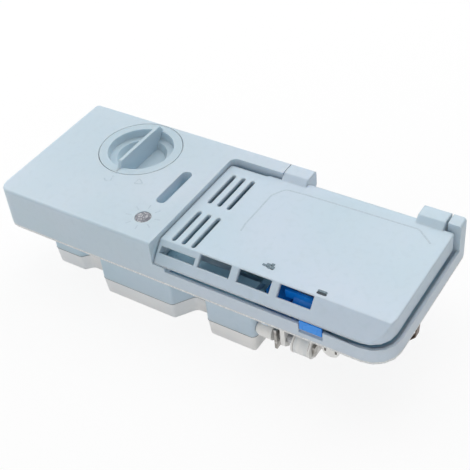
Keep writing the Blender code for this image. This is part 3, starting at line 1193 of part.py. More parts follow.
def make_slider(look):
    """Prong on the plunger and the slotted plate that swings the latch's tail."""
    prong = [(AXIS_Y, PRONG_TIP), (AXIS_Y + PRONG_HALF_WIDTH, PRONG_SHOULDER),
             (AXIS_Y + PRONG_HALF_WIDTH, SLIDE_LOW + SLIDE_THICKNESS / 2),
             (AXIS_Y - PRONG_HALF_WIDTH, SLIDE_LOW + SLIDE_THICKNESS / 2),
             (AXIS_Y - PRONG_HALF_WIDTH, PRONG_SHOULDER)]
    slider = bar_x("release_slider", prong, PRONG_LEFT, PRONG_LEFT + PRONG_THICKNESS)
    throw = (PIVOT_Z - SLIDE_LOW - SLIDE_THICKNESS / 2) * math.sin(LATCH_TRAVEL)
    reach = TAIL_RADIUS + SLOT_GAP
    plate = outline([
        (PRONG_LEFT, PIVOT_Y - reach - SLIDE_MARGIN, 0),
        (TAIL_X + reach + SLIDE_MARGIN, PIVOT_Y - reach - SLIDE_MARGIN, SLIDE_MARGIN),
        (TAIL_X + reach + SLIDE_MARGIN, PIVOT_Y + throw + reach + SLIDE_MARGIN, SLIDE_MARGIN),
        (PRONG_LEFT, PIVOT_Y + throw + reach + SLIDE_MARGIN, 0)])
    join(slider, prism("slide_plate", plate, SLIDE_LOW, SLIDE_LOW + SLIDE_THICKNESS))
    slope = math.atan2(throw, -STROKE)
    track = stadium(0, -reach, math.hypot(throw, STROKE) + reach, 2 * reach)
    slot = prism("cam_slot", track, SLIDE_LOW - OVERRUN, SLIDE_LOW + SLIDE_THICKNESS + OVERRUN)
    slot.location = (TAIL_X, PIVOT_Y, 0)
    slot.rotation_euler.z = slope - math.pi / 2
    cut(slider, slot, rod("prong_bore", (AXIS_Y, AXIS_Z), PLUNGER_RADIUS + PRONG_BORE_GAP,
                          PRONG_LEFT - OVERRUN, PRONG_LEFT + PRONG_THICKNESS + OVERRUN, axis="X"))
    return node(slider, "release_slider", look, origin=(PRONG_LEFT, AXIS_Y, AXIS_Z))


def make_coil(bobbin_look, winding_look):
    """Bobbin with the arm and disc that carry the terminals, and its winding."""
    inner_left = BOBBIN_LEFT + BOBBIN_FLANGE
    inner_right = BOBBIN_RIGHT - BOBBIN_FLANGE
    profile = [
        (BOBBIN_RADIUS, BOBBIN_RIGHT), (BOBBIN_RADIUS, inner_right), (BOBBIN_CORE, inner_right),
        (BOBBIN_CORE, inner_left), (BOBBIN_RADIUS, inner_left), (BOBBIN_RADIUS, BOBBIN_LEFT),
        (BOBBIN_BORE, BOBBIN_LEFT), (BOBBIN_BORE, BOBBIN_RIGHT)]
    bobbin = turned("coil_bobbin", profile, (0, AXIS_Y, AXIS_Z), along_x=True)
    front = DISC_FRONT + WALL / 2
    back = front + RISER_WIDTH
    arm = [(inner_right, AXIS_Z + BOBBIN_CORE), (BOBBIN_RIGHT - WINDING_GAP, AXIS_Z + BOBBIN_CORE),
           (BOBBIN_RIGHT - WINDING_GAP, RISER_TOP - RISER_SHEET), (DISC_X, RISER_TOP - RISER_SHEET),
           (DISC_X, RISER_TOP), (inner_right, RISER_TOP)]
    join(bobbin, bar_y("terminal_arm", arm, front, back),
         rod("terminal_disc", (DISC_X, RISER_TOP - RISER_SHEET / 2), DISC_RADIUS, DISC_FRONT, DISC_BACK,
             axis="Y"))
    half = TERMINAL_WIDTH / 2 + SCREW_GAP
    tall = TERMINAL_HEIGHT / 2 + SCREW_GAP
    middle = RISER_TOP - RISER_SHEET / 2
    for side in (-1, 1):
        x = DISC_X + side * TERMINAL_OFFSET
        cut(bobbin, box("terminal_slot", (x - half, DISC_FRONT - OVERRUN, middle - tall),
                        (x + half, DISC_BACK + OVERRUN, middle + tall)))
    node(bobbin, "coil_bobbin", bobbin_look)
    left = inner_left + WINDING_GAP
    right = inner_right - WINDING_GAP
    inner = BOBBIN_CORE + WINDING_GAP
    ring = [(WINDING_RADIUS, right), (WINDING_RADIUS, left), (inner, left), (inner, right)]
    node(turned("coil_winding", ring, (0, AXIS_Y, AXIS_Z), along_x=True), "coil_winding", winding_look)


def make_terminals(look):
    middle = RISER_TOP - RISER_SHEET / 2
    for side, name in ((-1, "terminal_left"), (1, "terminal_right")):
        x = DISC_X + side * TERMINAL_OFFSET
        blade = box(name, (x - TERMINAL_WIDTH / 2, DISC_FRONT - TERMINAL_PROUD, middle - TERMINAL_HEIGHT / 2),
                    (x + TERMINAL_WIDTH / 2, TERMINAL_BACK, middle + TERMINAL_HEIGHT / 2))
        node(blade, name, look)


def make_clip(name, x, y, outward, look):
    """Spring steel leaf folded round a rib, with its free edge spread outwards."""
    near = CLIP_RIB_THICKNESS / 2 + CLIP_GAP
    far = near + CLIP_SHEET
    top = FLANGE_LOW - GAP
    low = CLIP_RIB_LOW - CLIP_GAP
    tip = top - CLIP_TIP_DROP
    side = [(-far, top), (-far, low - CLIP_SHEET), (far, low - CLIP_SHEET), (far + CLIP_SPREAD, tip),
            (far + CLIP_SPREAD - CLIP_SHEET, tip), (near, low), (-near, low), (-near, top)]
    points = [(x + outward * across, height) for across, height in side]
    clip = bar_y(name, points, y - CLIP_WIDTH / 2, y + CLIP_WIDTH / 2)
    return node(clip, name, look)


def main():
    bpy.context.scene.collection.children.link(parts)
    bpy.context.scene.collection.children.link(cutters)
    parts.objects.link(placement)
    placement.location = (-LENGTH / 2, -WIDTH / 2, 0)
    body = material("pale_blue_plastic", (0.60, 0.70, 0.77), 0.45)
    lid_body = material("pale_blue_lid", (0.62, 0.71, 0.79), 0.45)
    cap_body = material("pale_blue_cap", (0.58, 0.68, 0.76), 0.4)
    shell = material("grey_white_plastic", (0.66, 0.67, 0.66), 0.5)
    white = material("white_plastic", (0.85, 0.85, 0.83), 0.4)
    blue = material("blue_plastic", (0.04, 0.25, 0.72), 0.3)
    rubber = material("rubber", (0.05, 0.05, 0.055), 0.8)
    gasket = material("white_foam", (0.9, 0.9, 0.88), 0.7)
    steel = material("steel", (0.55, 0.55, 0.56), 0.35, 1.0)
    dark_steel = material("dark_steel", (0.16, 0.14, 0.13), 0.45, 1.0)
    copper = material("copper_wire", (0.55, 0.22, 0.09), 0.4, 1.0)
    clear = material("clear_plastic", (0.8, 0.85, 0.88), 0.1)
    make_housing(body)
    make_gasket(gasket)
    make_reservoir_cover(shell)
    make_lid(lid_body)
    make_lid_seal(rubber)
    make_hinge_pins(steel)
    make_lid_spring(steel)
    make_latch(blue)
    make_latch_pin(steel)
    make_latch_spring(steel)
    make_cap(cap_body)
    make_cap_seal(rubber)
    make_dose_selector(white)
    make_lens(clear)
    make_valve(white, white, rubber, steel)
    make_yoke(dark_steel)
    make_screws(steel)
    make_plunger(steel)
    make_slider(white)
    make_coil(white, copper)
    make_terminals(dark_steel)
    make_clip("retaining_clip_left", CLIP_LEFT_X, CLIP_LEFT_Y, -1, dark_steel)
    make_clip("retaining_clip_right", CLIP_RIGHT_X, CLIP_RIGHT_Y, 1, dark_steel)


main()
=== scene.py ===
import math

import bmesh
import bpy
import numpy as np
from mathutils import Matrix, Vector


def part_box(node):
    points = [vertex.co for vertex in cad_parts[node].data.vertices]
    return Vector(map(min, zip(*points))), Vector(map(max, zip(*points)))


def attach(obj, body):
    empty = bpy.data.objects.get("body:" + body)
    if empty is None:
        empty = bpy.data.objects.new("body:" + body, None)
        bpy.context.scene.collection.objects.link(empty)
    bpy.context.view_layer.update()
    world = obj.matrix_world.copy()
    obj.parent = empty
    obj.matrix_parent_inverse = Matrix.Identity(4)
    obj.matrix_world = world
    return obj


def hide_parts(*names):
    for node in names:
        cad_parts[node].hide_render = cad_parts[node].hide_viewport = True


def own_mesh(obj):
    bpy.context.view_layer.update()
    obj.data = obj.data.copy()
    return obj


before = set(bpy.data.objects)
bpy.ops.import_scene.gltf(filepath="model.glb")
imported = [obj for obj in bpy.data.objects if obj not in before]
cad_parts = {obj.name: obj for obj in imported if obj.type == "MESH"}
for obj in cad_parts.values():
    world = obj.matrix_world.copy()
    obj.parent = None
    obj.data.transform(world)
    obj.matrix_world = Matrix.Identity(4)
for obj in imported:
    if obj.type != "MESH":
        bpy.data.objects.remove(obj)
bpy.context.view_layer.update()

# Housing: one injection moulding in pale blue-grey polypropylene that carries every other piece.
# The mould is finely spark-eroded, so broad faces have a soft grain and drift slightly in tint.
# Its edges come out a little rounder and smoother, and a painted highlight makes them paler than the faces
# between them.


class Signal:
    """A value that changes over a surface; arithmetic on it adds Math nodes."""

    def __init__(self, nodes, socket):
        self.nodes = nodes
        self.socket = socket

    def maths(self, operation, *values):
        """The result of a Math node for these values."""
        return self.nodes.node("ShaderNodeMath", {"operation": operation}, dict(enumerate(values)))

    def __add__(self, other):
        return self.maths("ADD", self, other)

    def __radd__(self, other):
        return self.maths("ADD", other, self)

    def __sub__(self, other):
        return self.maths("SUBTRACT", self, other)

    def __rsub__(self, other):
        return self.maths("SUBTRACT", other, self)

    def __mul__(self, other):
        return self.maths("MULTIPLY", self, other)

    def __rmul__(self, other):
        return self.maths("MULTIPLY", other, self)

    def __pow__(self, exponent):
        return self.maths("POWER", self, exponent)

    def repeat(self, length):
        """Distance from the middle of the nearest of many cells in a row."""
        return self.maths("ABSOLUTE", self.maths("WRAP", self, length / 2, -length / 2))

    def rise(self, low, high):
        """Smooth step from 0 at low to 1 at high."""
        return self.nodes.node("ShaderNodeMapRange", {"interpolation_type": "SMOOTHSTEP"},
                               {"Value": self, "From Min": low, "From Max": high})


def paint(red, green, blue):
    """Linear colour of an sRGB colour given in steps of 255."""
    return tuple(((c / 255 + 0.055) / 1.055) ** 2.4 for c in (red, green, blue)) + (1.0,)


class Nodes:
    """A node tree whose patterns are written as expressions on signals."""

    def __init__(self, tree):
        self.tree = tree

    def node(self, kind, settings=None, sockets=None, output=0):
        """Adds any node: its settings first, then the values or links of its sockets."""
        made = self.tree.nodes.new(kind)
        for name, value in (settings or {}).items():
            setattr(made, name, value)
        for socket, value in (sockets or {}).items():
            if isinstance(value, Signal):
                self.tree.links.new(made.inputs[socket], value.socket)
            else:
                made.inputs[socket].default_value = value
        return Signal(self, made.outputs[output])


class Finish(Nodes):
    """A Principled material: its colour and roughness, and any other levels by their sockets' names."""

    def __init__(self, name, colour, roughness, **levels):
        self.material = bpy.data.materials.new(name)
        self.material.use_nodes = True
        super().__init__(self.material.node_tree)
        self.shader = self.tree.nodes["Principled BSDF"]
        self.shader.inputs["Base Color"].default_value = colour
        self.shader.inputs["Roughness"].default_value = roughness
        for socket, level in levels.items():
            self.shader.inputs[socket.replace("_", " ")].default_value = level
        self.material.diffuse_color = colour
        self.place = self.node("ShaderNodeTexCoord", output="Object")

    def noise(self, scale, detail=2.0, stretch=(1, 1, 1)):
        """Cloudy values round 0.5; scale is in clouds per metre, stretched along an axis if asked."""
        where = self.node("ShaderNodeMapping", {"vector_type": "TEXTURE"},
                          {"Vector": self.place, "Scale": stretch})
        return self.node("ShaderNodeTexNoise", {}, {"Vector": where, "Scale": scale, "Detail": detail})

    def axis(self, letter):
        """A point's place along X, Y or Z."""
        return self.node("ShaderNodeSeparateXYZ", {}, {"Vector": self.place}, output=letter)

    def blend(self, share, first, second):
        """Colour between two colours."""
        return self.node("ShaderNodeMix", {"data_type": "RGBA"}, {0: share, 6: first, 7: second}, output=2)

    def rounded(self, radius):
        """Normal with edges rounded by a radius, and a mask that is 1 on those edges."""
        soft = self.node("ShaderNodeBevel", {"samples": 6}, {"Radius": radius})
        sharp = self.node("ShaderNodeNewGeometry", output="Normal")
        agreement = self.node("ShaderNodeVectorMath", {"operation": "DOT_PRODUCT"}, {0: soft, 1: sharp},
                              output="Value")
        return soft, (1 - agreement).rise(0.01, 0.22)

    def bump(self, height, depth, strength, normal=None):
        """Normal of a relief: depth is in metres for a height of 1."""
        sockets = {"Height": height, "Distance": depth, "Strength": strength}
        if normal:
            sockets["Normal"] = normal
        return self.node("ShaderNodeBump", {}, sockets)

    def feed(self, **signals):
        """Links signals to the shader's sockets."""
        for socket, signal in signals.items():
            self.tree.links.new(self.shader.inputs[socket.replace("_", " ")], signal.socket)
        return self


WALLS_HALF_LENGTH = 0.1045
WALLS_HALF_WIDTH = 0.0285
CORNER_INNER, CORNER_OUTER = 0.0138, 0.0150
HOLLOW_SHADE_RAMP = 0.014
FLANGE_LOW, FLANGE_HIGH = 0.030, 0.036
SHADE_BELOW_FLANGE = 0.2
HOLLOW_SHADE_SHARE = (0.68, 0.92, 1.0, 1.0)
EDGE_HIGHLIGHT_WHITER = 0.62
MOTTLE_DARKER = 0.90
MOTTLE_SHARE = 0.22
SINK_DEPTH = 0.00004


def inside_walls(finish):
    """1 inside the rounded outline of the outer walls and 0 outside it. The distance from the outline's
    straight-sided middle is the length of (max(|x| - a, 0), max(|y| - b, 0))."""
    along, across = finish.axis("X"), finish.axis("Y")
    along = along.maths("MAXIMUM", along.maths("ABSOLUTE", along) - WALLS_HALF_LENGTH, 0.0)
    across = across.maths("MAXIMUM", across.maths("ABSOLUTE", across) - WALLS_HALF_WIDTH, 0.0)
    return 1 - ((along ** 2 + across ** 2) ** 0.5).rise(CORNER_INNER, CORNER_OUTER)


def moulded(name, cool, warm, roughness, edge_radius=0.00045, grain=0.000012, edge_highlight=0.30, hollow_shade_level=None,
            **levels):
    """Moulded plastic: its tint drifts slowly from cool to warm; its edges are smoother, with a painted
    highlight.
    Below a shade level, inside the walls, the tint is deeper: painted shade in the hollows."""
    finish = Finish(name, cool, roughness, **levels)
    drift = finish.noise(11.0, 1.0).rise(0.36, 0.64)
    mottle = finish.noise(260.0, 3.0)
    sparks = finish.noise(2400.0, 1.0)
    soft, edge = finish.rounded(edge_radius)
    pale = tuple(1 - (1 - c) * EDGE_HIGHLIGHT_WHITER for c in warm[:3]) + (1.0,)
    deep = tuple(c * MOTTLE_DARKER for c in cool[:3]) + (1.0,)
    base = finish.blend(drift, cool, warm)
    base = finish.blend(mottle.rise(0.48, 0.72) * MOTTLE_SHARE, base, deep)
    # Edges get a painted highlight.
    base = finish.blend(edge * edge_highlight, base, pale)
    # Hollows inside the walls get painted shade below the shade level.
    if hollow_shade_level:
        shaded_hollow_colour = tuple(c * share for c, share in zip(cool, HOLLOW_SHADE_SHARE))
        height = finish.axis("Z")
        shade_in_cups = SHADE_BELOW_FLANGE + (1 - SHADE_BELOW_FLANGE) * height.rise(FLANGE_LOW, FLANGE_HIGH)
        depth = (1 - height.rise(hollow_shade_level - HOLLOW_SHADE_RAMP, hollow_shade_level)) * shade_in_cups
        base = finish.blend(inside_walls(finish) * depth, base, shaded_hollow_colour)
    sink = finish.noise(38.0, 1.0) * SINK_DEPTH
    return finish.feed(Base_Color=base, Roughness=roughness + (mottle - 0.5) * 0.16 - edge * 0.10,
                       Normal=finish.bump(sparks * grain + sink, 1.0, 0.5, soft))


def even_normals(mesh, limit):
    """Each face corner's normal is the sum of area times normal over the faces that meet in that point
    and turn by less than the limit, so flat faces stay flat and rounds run smoothly into them."""
    vertex, sizes = np.empty(len(mesh.loops), int), np.empty(len(mesh.polygons), int)
    normals, areas = np.empty(len(mesh.polygons) * 3), np.empty(len(mesh.polygons))
    mesh.loops.foreach_get("vertex_index", vertex)
    for name, values in (("loop_total", sizes), ("normal", normals), ("area", areas)):
        mesh.polygons.foreach_get(name, values)
    order = np.argsort(vertex, kind="stable")
    face = np.repeat(np.arange(len(sizes)), sizes)[order]
    at, own, area = vertex[order], normals.reshape(-1, 3)[face], areas[face]
    total = own * area[:, None]
    for step in range(1, int(np.bincount(vertex).max())):
        for shift in (step, -step):
            near = np.roll(own, shift, 0)
            meets = (np.roll(at, shift) == at) & ((near * own).sum(1) > math.cos(limit))
            total += near * (np.roll(area, shift) * meets)[:, None]
    corners = np.empty_like(total)
    corners[order] = total / np.linalg.norm(total, axis=1, keepdims=True)
    mesh.shade_smooth()
    mesh.normals_split_custom_set(corners.tolist())


def placed(name, data):
    """A new object in the scene."""
    made = bpy.data.objects.new(name, data)
    bpy.context.scene.collection.objects.link(made)
    return made


MERGE_DISTANCE = 0.000001
FLAT_ANGLE = 0.004


def moulding(node, body, finish, smooth_below=0.62):
    """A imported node's shape with its loose triangles joined into whole faces and its rounds shaded smooth."""
    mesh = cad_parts[node].data.copy()
    mesh.name = node + "_dressed"
    form = bmesh.new()
    form.from_mesh(mesh)
    bmesh.ops.remove_doubles(form, verts=form.verts, dist=MERGE_DISTANCE)
    bmesh.ops.dissolve_limit(form, angle_limit=FLAT_ANGLE, verts=form.verts, edges=form.edges)
    form.to_mesh(mesh)
    form.free()
    even_normals(mesh, smooth_below)
    mesh.materials.clear()
    mesh.materials.append(finish.material)
    piece = placed(node + "_dressed", mesh)
    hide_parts(node)
    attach(piece, body)
    return piece


# Light scatters a little under the skin, so hollows stay tinted instead of going black.
SKIN_DEPTH = {"Subsurface_Weight": 0.3, "Subsurface_Scale": 0.003, "Subsurface_Radius": (0.75, 1.0, 1.2)}
# Below this level the housing's hollows get painted shade.
SHADED_HOLLOW_TOP = 0.059
housing_plastic = moulded("housing_plastic", paint(194, 211, 222), paint(202, 214, 226), 0.42,
                          hollow_shade_level=SHADED_HOLLOW_TOP, **SKIN_DEPTH)
moulding("housing", "housing", housing_plastic)

# Marks on the block: low beads that the mould leaves standing on the block's top.
# A pointer and two small signs stand beside the cap, and a ring of rays stands round the lens.
# They are the same plastic as the block, coloured a little darker than it and faintly mottled.
corner, far_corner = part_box("housing")
block_top = far_corner.z
ARC_POINTS = 8
LONGEST_ROUND = 0.48
SHARP_ANGLE = 0.7


def spot(x, y):
    """Place of a point given in millimetres from the left end and from the front."""
    return corner.x + x / 1000, corner.y + y / 1000


def measured(place):
    """Millimetres from the left end and from the front of a place."""
    return (place.x - corner.x) * 1000, (place.y - corner.y) * 1000


def filleted(points, radius, closed=False):
    """A polyline with round corners: each arc is (a(1-t)^2 + 2wbt(1-t) + ct^2) / ((1-t)^2 + 2wt(1-t) + t^2),
    where b is the corner, a and c are the arc's ends, and w is the sine of half the corner's angle."""
    points = np.array(points, float)
    radius = np.broadcast_to(radius, len(points))
    back, fore = np.roll(points, 1, 0) - points, np.roll(points, -1, 0) - points
    back_length, fore_length = np.linalg.norm(back, axis=1), np.linalg.norm(fore, axis=1)
    back, fore = back / back_length[:, None], fore / fore_length[:, None]
    half = np.arccos(np.clip((back * fore).sum(1), -1, 1)) / 2
    reach = np.minimum(radius / np.tan(half), LONGEST_ROUND * np.minimum(back_length, fore_length))[:, None]
    share = np.linspace(0, 1, ARC_POINTS)[None, :, None]
    first, last, both = (1 - share) ** 2, share ** 2, 2 * share * (1 - share) * np.sin(half)[:, None, None]
    arcs = (first * (points + back * reach)[:, None] + both * points[:, None]
            + last * (points + fore * reach)[:, None])
    arcs = arcs / (first + both + last)
    if closed:
        return arcs.reshape(-1, points.shape[1])
    return np.concatenate([points[:1], arcs[1:-1].reshape(-1, points.shape[1]), points[-1:]])


def body_of(name, grids, finish, body, loops=False, flat=False):
    """One closed mesh from grids of points: rows are closed rings, joined one to the next.
    The first and last rings get a flat face, or meet each other when the grid loops."""
    corners, faces, start = [], [], 0
    for grid in grids:
        rows, columns = grid.shape[:2]
        index = np.arange(rows * columns).reshape(rows, columns) + start
        beside = np.roll(index, -1, 1)
        above, across = np.roll(index, -1, 0), np.roll(beside, -1, 0)
        last = rows if loops else rows - 1
        quads = np.stack([index, beside, across, above], 2)[:last].reshape(-1, 4)
        faces += quads.tolist()
        if not loops:
            faces += [index[0, ::-1].tolist(), index[-1].tolist()]
        corners.append(grid.reshape(-1, 3))
        start += rows * columns
    mesh = bpy.data.meshes.new(name)
    mesh.from_pydata(np.concatenate(corners).tolist(), [], faces)
    form = bmesh.new()
    form.from_mesh(mesh)
    bmesh.ops.recalc_face_normals(form, faces=form.faces)
    form.to_mesh(mesh)
    form.free()
    if not flat:
        mesh.shade_smooth()
        mesh.set_sharp_from_angle(angle=SHARP_ANGLE)
    mesh.materials.append(finish.material)
    piece = placed(name, mesh)
    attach(piece, body)
    return piece


def around(count):
    """Angles of evenly spaced points on a circle."""
    return np.linspace(0, math.tau, count, endpoint=False)


def sideways(path, closed=False):
    """Unit steps to the left of a flat path: (-y, x) of the step from the point before to the point after."""
    ahead = np.roll(path, -1, 0) - np.roll(path, 1, 0)
    if not closed:
        ahead[0], ahead[-1] = path[1] - path[0], path[-1] - path[-2]
    ahead /= np.linalg.norm(ahead, axis=1, keepdims=True)
    return np.stack([-ahead[:, 1], ahead[:, 0]], 1)


def bead(path, width, height, level, sink=0.00005, closed=False):
    """Half an ellipse carried along a level path: across = cos(angle), up = sin(angle)."""
    path = np.asarray(path, float)
    side = sideways(path, closed)
    angle = np.linspace(0, math.pi, ARC_POINTS)
    across = np.concatenate([np.cos(angle), [-1, 1]]) * width / 2
    up = np.concatenate([np.sin(angle) * height, [-sink, -sink]])
    flat = path[:, None, :] + side[:, None, :] * across[None, :, None]
    tall = np.broadcast_to(level + up, flat.shape[:2])
    return np.concatenate([flat, tall[:, :, None]], 2)


mark_plastic = Finish("mark_plastic", paint(180, 198, 210), 0.45)
mark_mottle = mark_plastic.noise(900.0, 2.0)
darker_mottle = mark_plastic.blend(mark_mottle.rise(0.35, 0.7), paint(176, 195, 208), paint(190, 206, 217))
mark_plastic.feed(Base_Color=darker_mottle, Roughness=0.4 + mark_mottle * 0.15)

MARK_HEIGHT = 0.00006
hand = bead([spot(54.4, 38.6), spot(55.6, 34.0)], width=0.0008, height=MARK_HEIGHT, level=block_top)
hook = bead([spot(51.0, 34.6), spot(52.6, 33.2), spot(54.4, 33.0)], width=0.0009, height=0.00007,
            level=block_top)
lens_low, lens_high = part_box("indicator_lens")
lens_middle = (lens_low + lens_high) / 2
lens_x, lens_y = measured(lens_middle)
RAY_START, RAY_END = 6.9, 10.2
RAY_WIDTH, RAY_HEIGHT = 0.0007, 0.00003
RAY_COUNT, FIRST_RAY = 8, 0.2
rays = [bead([spot(lens_x + away * math.cos(turn), lens_y + away * math.sin(turn))
              for away in (RAY_START, RAY_END)], RAY_WIDTH, RAY_HEIGHT, block_top)
        for turn in around(RAY_COUNT) + FIRST_RAY]
body_of("block_marks", [hand, hook] + rays, mark_plastic, "housing")
triangle = filleted([spot(69.6, 38.0), spot(74.4, 40.0), spot(69.6, 43.4)], 0.0006, closed=True)
body_of("full_turn_mark", [bead(triangle, 0.0007, MARK_HEIGHT, block_top, closed=True)],
        mark_plastic, "housing", loops=True)

# Gasket: a strip of white closed-cell foam stuck under the flange.
# It seals the cut-out of the door's inner panel against wash water.
gasket_foam = Finish("gasket_foam", paint(236, 238, 238), 0.85)
cells = gasket_foam.noise(1500.0, 3.0)
foam = gasket_foam.blend(cells.rise(0.42, 0.62), paint(214, 217, 219), paint(244, 245, 245))
gasket_foam.feed(Base_Color=foam, Roughness=0.78 + cells * 0.2, Normal=gasket_foam.bump(cells, 0.00012, 0.5))
moulding("flange_gasket", "housing", gasket_foam)

# Tank cover: a grey-white shell, moulded apart and hot-plate welded to the tank's walls.
# The weld leaves a thin uneven bead of squeezed plastic along the seam, coloured dark as painted shade of the
# seam.
# Ejector pins leave faint rings on its underside.
shell_plastic = Finish("shell_plastic", paint(238, 239, 239), 0.5)
haze = shell_plastic.noise(30.0, 3.0)
streaks = shell_plastic.noise(160.0, 3.0, (5, 1, 1))
soft, edge = shell_plastic.rounded(0.0005)
PIN_STEP_X, PIN_STEP_Y = 0.034, 0.030
from_pin_x = shell_plastic.axis("X").repeat(PIN_STEP_X)
from_pin_y = shell_plastic.axis("Y").repeat(PIN_STEP_Y)
from_pin = (from_pin_x ** 2 + from_pin_y ** 2) ** 0.5
underside = 1 - shell_plastic.axis("Z").rise(0.0002, 0.0005)
ring = from_pin.rise(0.0022, 0.0025) * (1 - from_pin.rise(0.0026, 0.0029)) * underside
milky = shell_plastic.blend(haze.rise(0.35, 0.65), paint(232, 235, 237), paint(243, 242, 240))
milky = shell_plastic.blend(streaks.rise(0.5, 0.75) * 0.3, milky, paint(218, 222, 225))
milky = shell_plastic.blend(ring * 0.4, milky, paint(196, 200, 203))
# Its edges get a painted highlight.
shell_plastic.feed(Base_Color=shell_plastic.blend(edge * 0.3, milky, paint(248, 248, 247)),
                   Roughness=0.46 + (streaks - 0.5) * 0.2,
                   Normal=shell_plastic.bump(streaks * 0.00002 - ring * 0.00005, 1.0, 0.6, soft))
moulding("reservoir_cover", "housing", shell_plastic)

SEAM_DROP = 0.00015
SEAM_INSET = 0.00012
WELD_HALF_WIDTH = 0.00020
WELD_HALF_HEIGHT = 0.00016
WALL_ROUND, NOTCH_ROUND = 0.003, 0.0012
(left, front), (right, back) = (measured(place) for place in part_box("reservoir_cover"))
# Each corner has a place in millimetres and the radius of its round.
tank_corners = [(left, 12.7, WALL_ROUND), (40.0, 12.7, WALL_ROUND), (44.0, 17.0, WALL_ROUND),
                (62.0, 17.0, NOTCH_ROUND), (62.0, front, WALL_ROUND), (111.5, front, WALL_ROUND),
                (119.5, 16.5, WALL_ROUND), (134.0, 16.5, NOTCH_ROUND), (134.0, front, WALL_ROUND),
                (right, front, WALL_ROUND), (right, back, WALL_ROUND), (left, back, WALL_ROUND)]
seam = filleted([spot(x, y) for x, y, _ in tank_corners], [radius for _, _, radius in tank_corners],
                closed=True)
travel = np.cumsum(np.linalg.norm(np.roll(seam, -1, 0) - seam, axis=1))
uneven = 0.00003 * np.sin(travel * 700) + 0.00002 * np.sin(travel * 1900 + 1)
angle = around(8)
across = SEAM_INSET + np.cos(angle)[None, :, None] * (WELD_HALF_WIDTH + uneven)[:, None, None]
flat = seam[:, None, :] + sideways(seam, closed=True)[:, None, :] * across
tall = np.broadcast_to(corner.z - SEAM_DROP + WELD_HALF_HEIGHT * np.sin(angle), flat.shape[:2])
weld = np.concatenate([flat, tall[:, :, None]], 2)
# The weld bead's dark colour is painted shade along the seam.
weld_painted_shade = Finish("weld_painted_shade", paint(70, 88, 98), 0.55)
clots = weld_painted_shade.noise(700.0, 2.0)
clotted_shade = weld_painted_shade.blend(clots.rise(0.4, 0.65), paint(60, 78, 88), paint(98, 116, 126))
weld_painted_shade.feed(Base_Color=clotted_shade, Roughness=0.45 + clots * 0.2, Normal=weld_painted_shade.bump(clots, 0.0001, 0.4))
body_of("weld_bead", [weld], weld_painted_shade, "housing", loops=True)

# Filler cap: a dished polypropylene cap with a grip rib, turned a quarter turn to take it off.
# Its rubber ring seals under the rim, and the dose knob stands on a post below it.
cap_plastic = moulded("cap_plastic", paint(188, 207, 218), paint(197, 211, 222), 0.38, **SKIN_DEPTH)
moulding("filler_cap", "cap", cap_plastic)
cap_low, cap_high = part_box("filler_cap")
cap_x = measured((cap_low + cap_high) / 2)[0]
body_of("cap_pointer", [bead([spot(cap_x, 43.0), spot(cap_x, 46.0)], width=0.0010, height=0.00025,
                             level=block_top)], cap_plastic, "cap")

dark_rubber = Finish("dark_rubber", paint(58, 59, 61), 0.72, Specular_IOR_Level=0.35)
bloom = dark_rubber.noise(420.0, 4.0)
bloomed = dark_rubber.blend(bloom.rise(0.4, 0.7), paint(48, 49, 51), paint(78, 79, 80))
dark_rubber.feed(Base_Color=bloomed, Roughness=0.62 + bloom * 0.2,
                 Normal=dark_rubber.bump(bloom, 0.00006, 0.4))
moulding("cap_seal", "cap", dark_rubber)

white_plastic = moulded("white_plastic", paint(238, 241, 242), paint(242, 241, 238), 0.36,
                        edge_radius=0.0003, grain=0.000008, edge_highlight=0.2)
moulding("dose_selector", "dose_knob", white_plastic)

# Level lens: a clear acrylic cone with polished facets, pressed in from inside the block.
# Rinse aid on the cone stops it from throwing light back, so an empty tank shows as a silvery, broken glint.
# That glint is a painted reflection in the cone's colour, with darker lines at the facet edges.
lens_flange = (lens_high.x - lens_low.x) / 2
LENS_FACETS = 12
half_facet = math.pi / LENS_FACETS
turn = around(48)
facet = math.cos(half_facet) / np.cos(np.mod(turn, 2 * half_facet) - half_facet)


def turned(middle, radius, angle, along):
    """A profile turned round an axis: middle + radius (cos(angle), sin(angle)), at a place along the axis."""
    return np.stack([middle[0] + radius * np.cos(angle), middle[1] + radius * np.sin(angle),
                     np.broadcast_to(along, radius.shape)], 2)


# Each ring of the lens has a radius, its depth under the top, and a 1 where it has flat facets.
lens_rings = [(0.0012, lens_high.z - lens_low.z, 1), (0.0042, 0.0038, 1), (0.0042, 0.00395, 0),
              (lens_flange, 0.0040, 0), (lens_flange, 0.0023, 0), (0.0043, 0.0023, 0), (0.0043, 0.0002, 0),
              (0.0039, 0.0, 0), (0.0026, 0.0001, 1), (0.0010, 0.0003, 1)]
radii, depths, facets = (np.array(column)[:, None] for column in zip(*lens_rings))
lens_radii = radii * np.where(facets > 0, facet[None, :], 1)
lens_grid = turned(lens_middle, lens_radii, turn, lens_high.z - depths)
clear_plastic = Finish("clear_plastic", paint(196, 200, 206), 0.12, Transmission_Weight=0.25, IOR=1.49)
ridges = clear_plastic.node("ShaderNodeTexVoronoi", {"feature": "DISTANCE_TO_EDGE"},
                            {"Vector": clear_plastic.place, "Scale": 345.0})
glints = clear_plastic.noise(900.0, 1.0)
# Painted reflection: silvery glints, with darker lines painted at the facet edges.
painted_glint = clear_plastic.blend(glints.rise(0.40, 0.60), paint(158, 161, 170), paint(216, 218, 223))
clear_plastic.feed(Base_Color=clear_plastic.blend(ridges.rise(0.02, 0.16), paint(138, 140, 150), painted_glint),
                   Roughness=0.06 + glints * 0.12,
                   Normal=clear_plastic.bump(ridges.rise(0.0, 0.4), 0.0003, 0.6))
lens = body_of("lens_cone", [lens_grid], clear_plastic, "housing", flat=True)
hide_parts("indicator_lens")

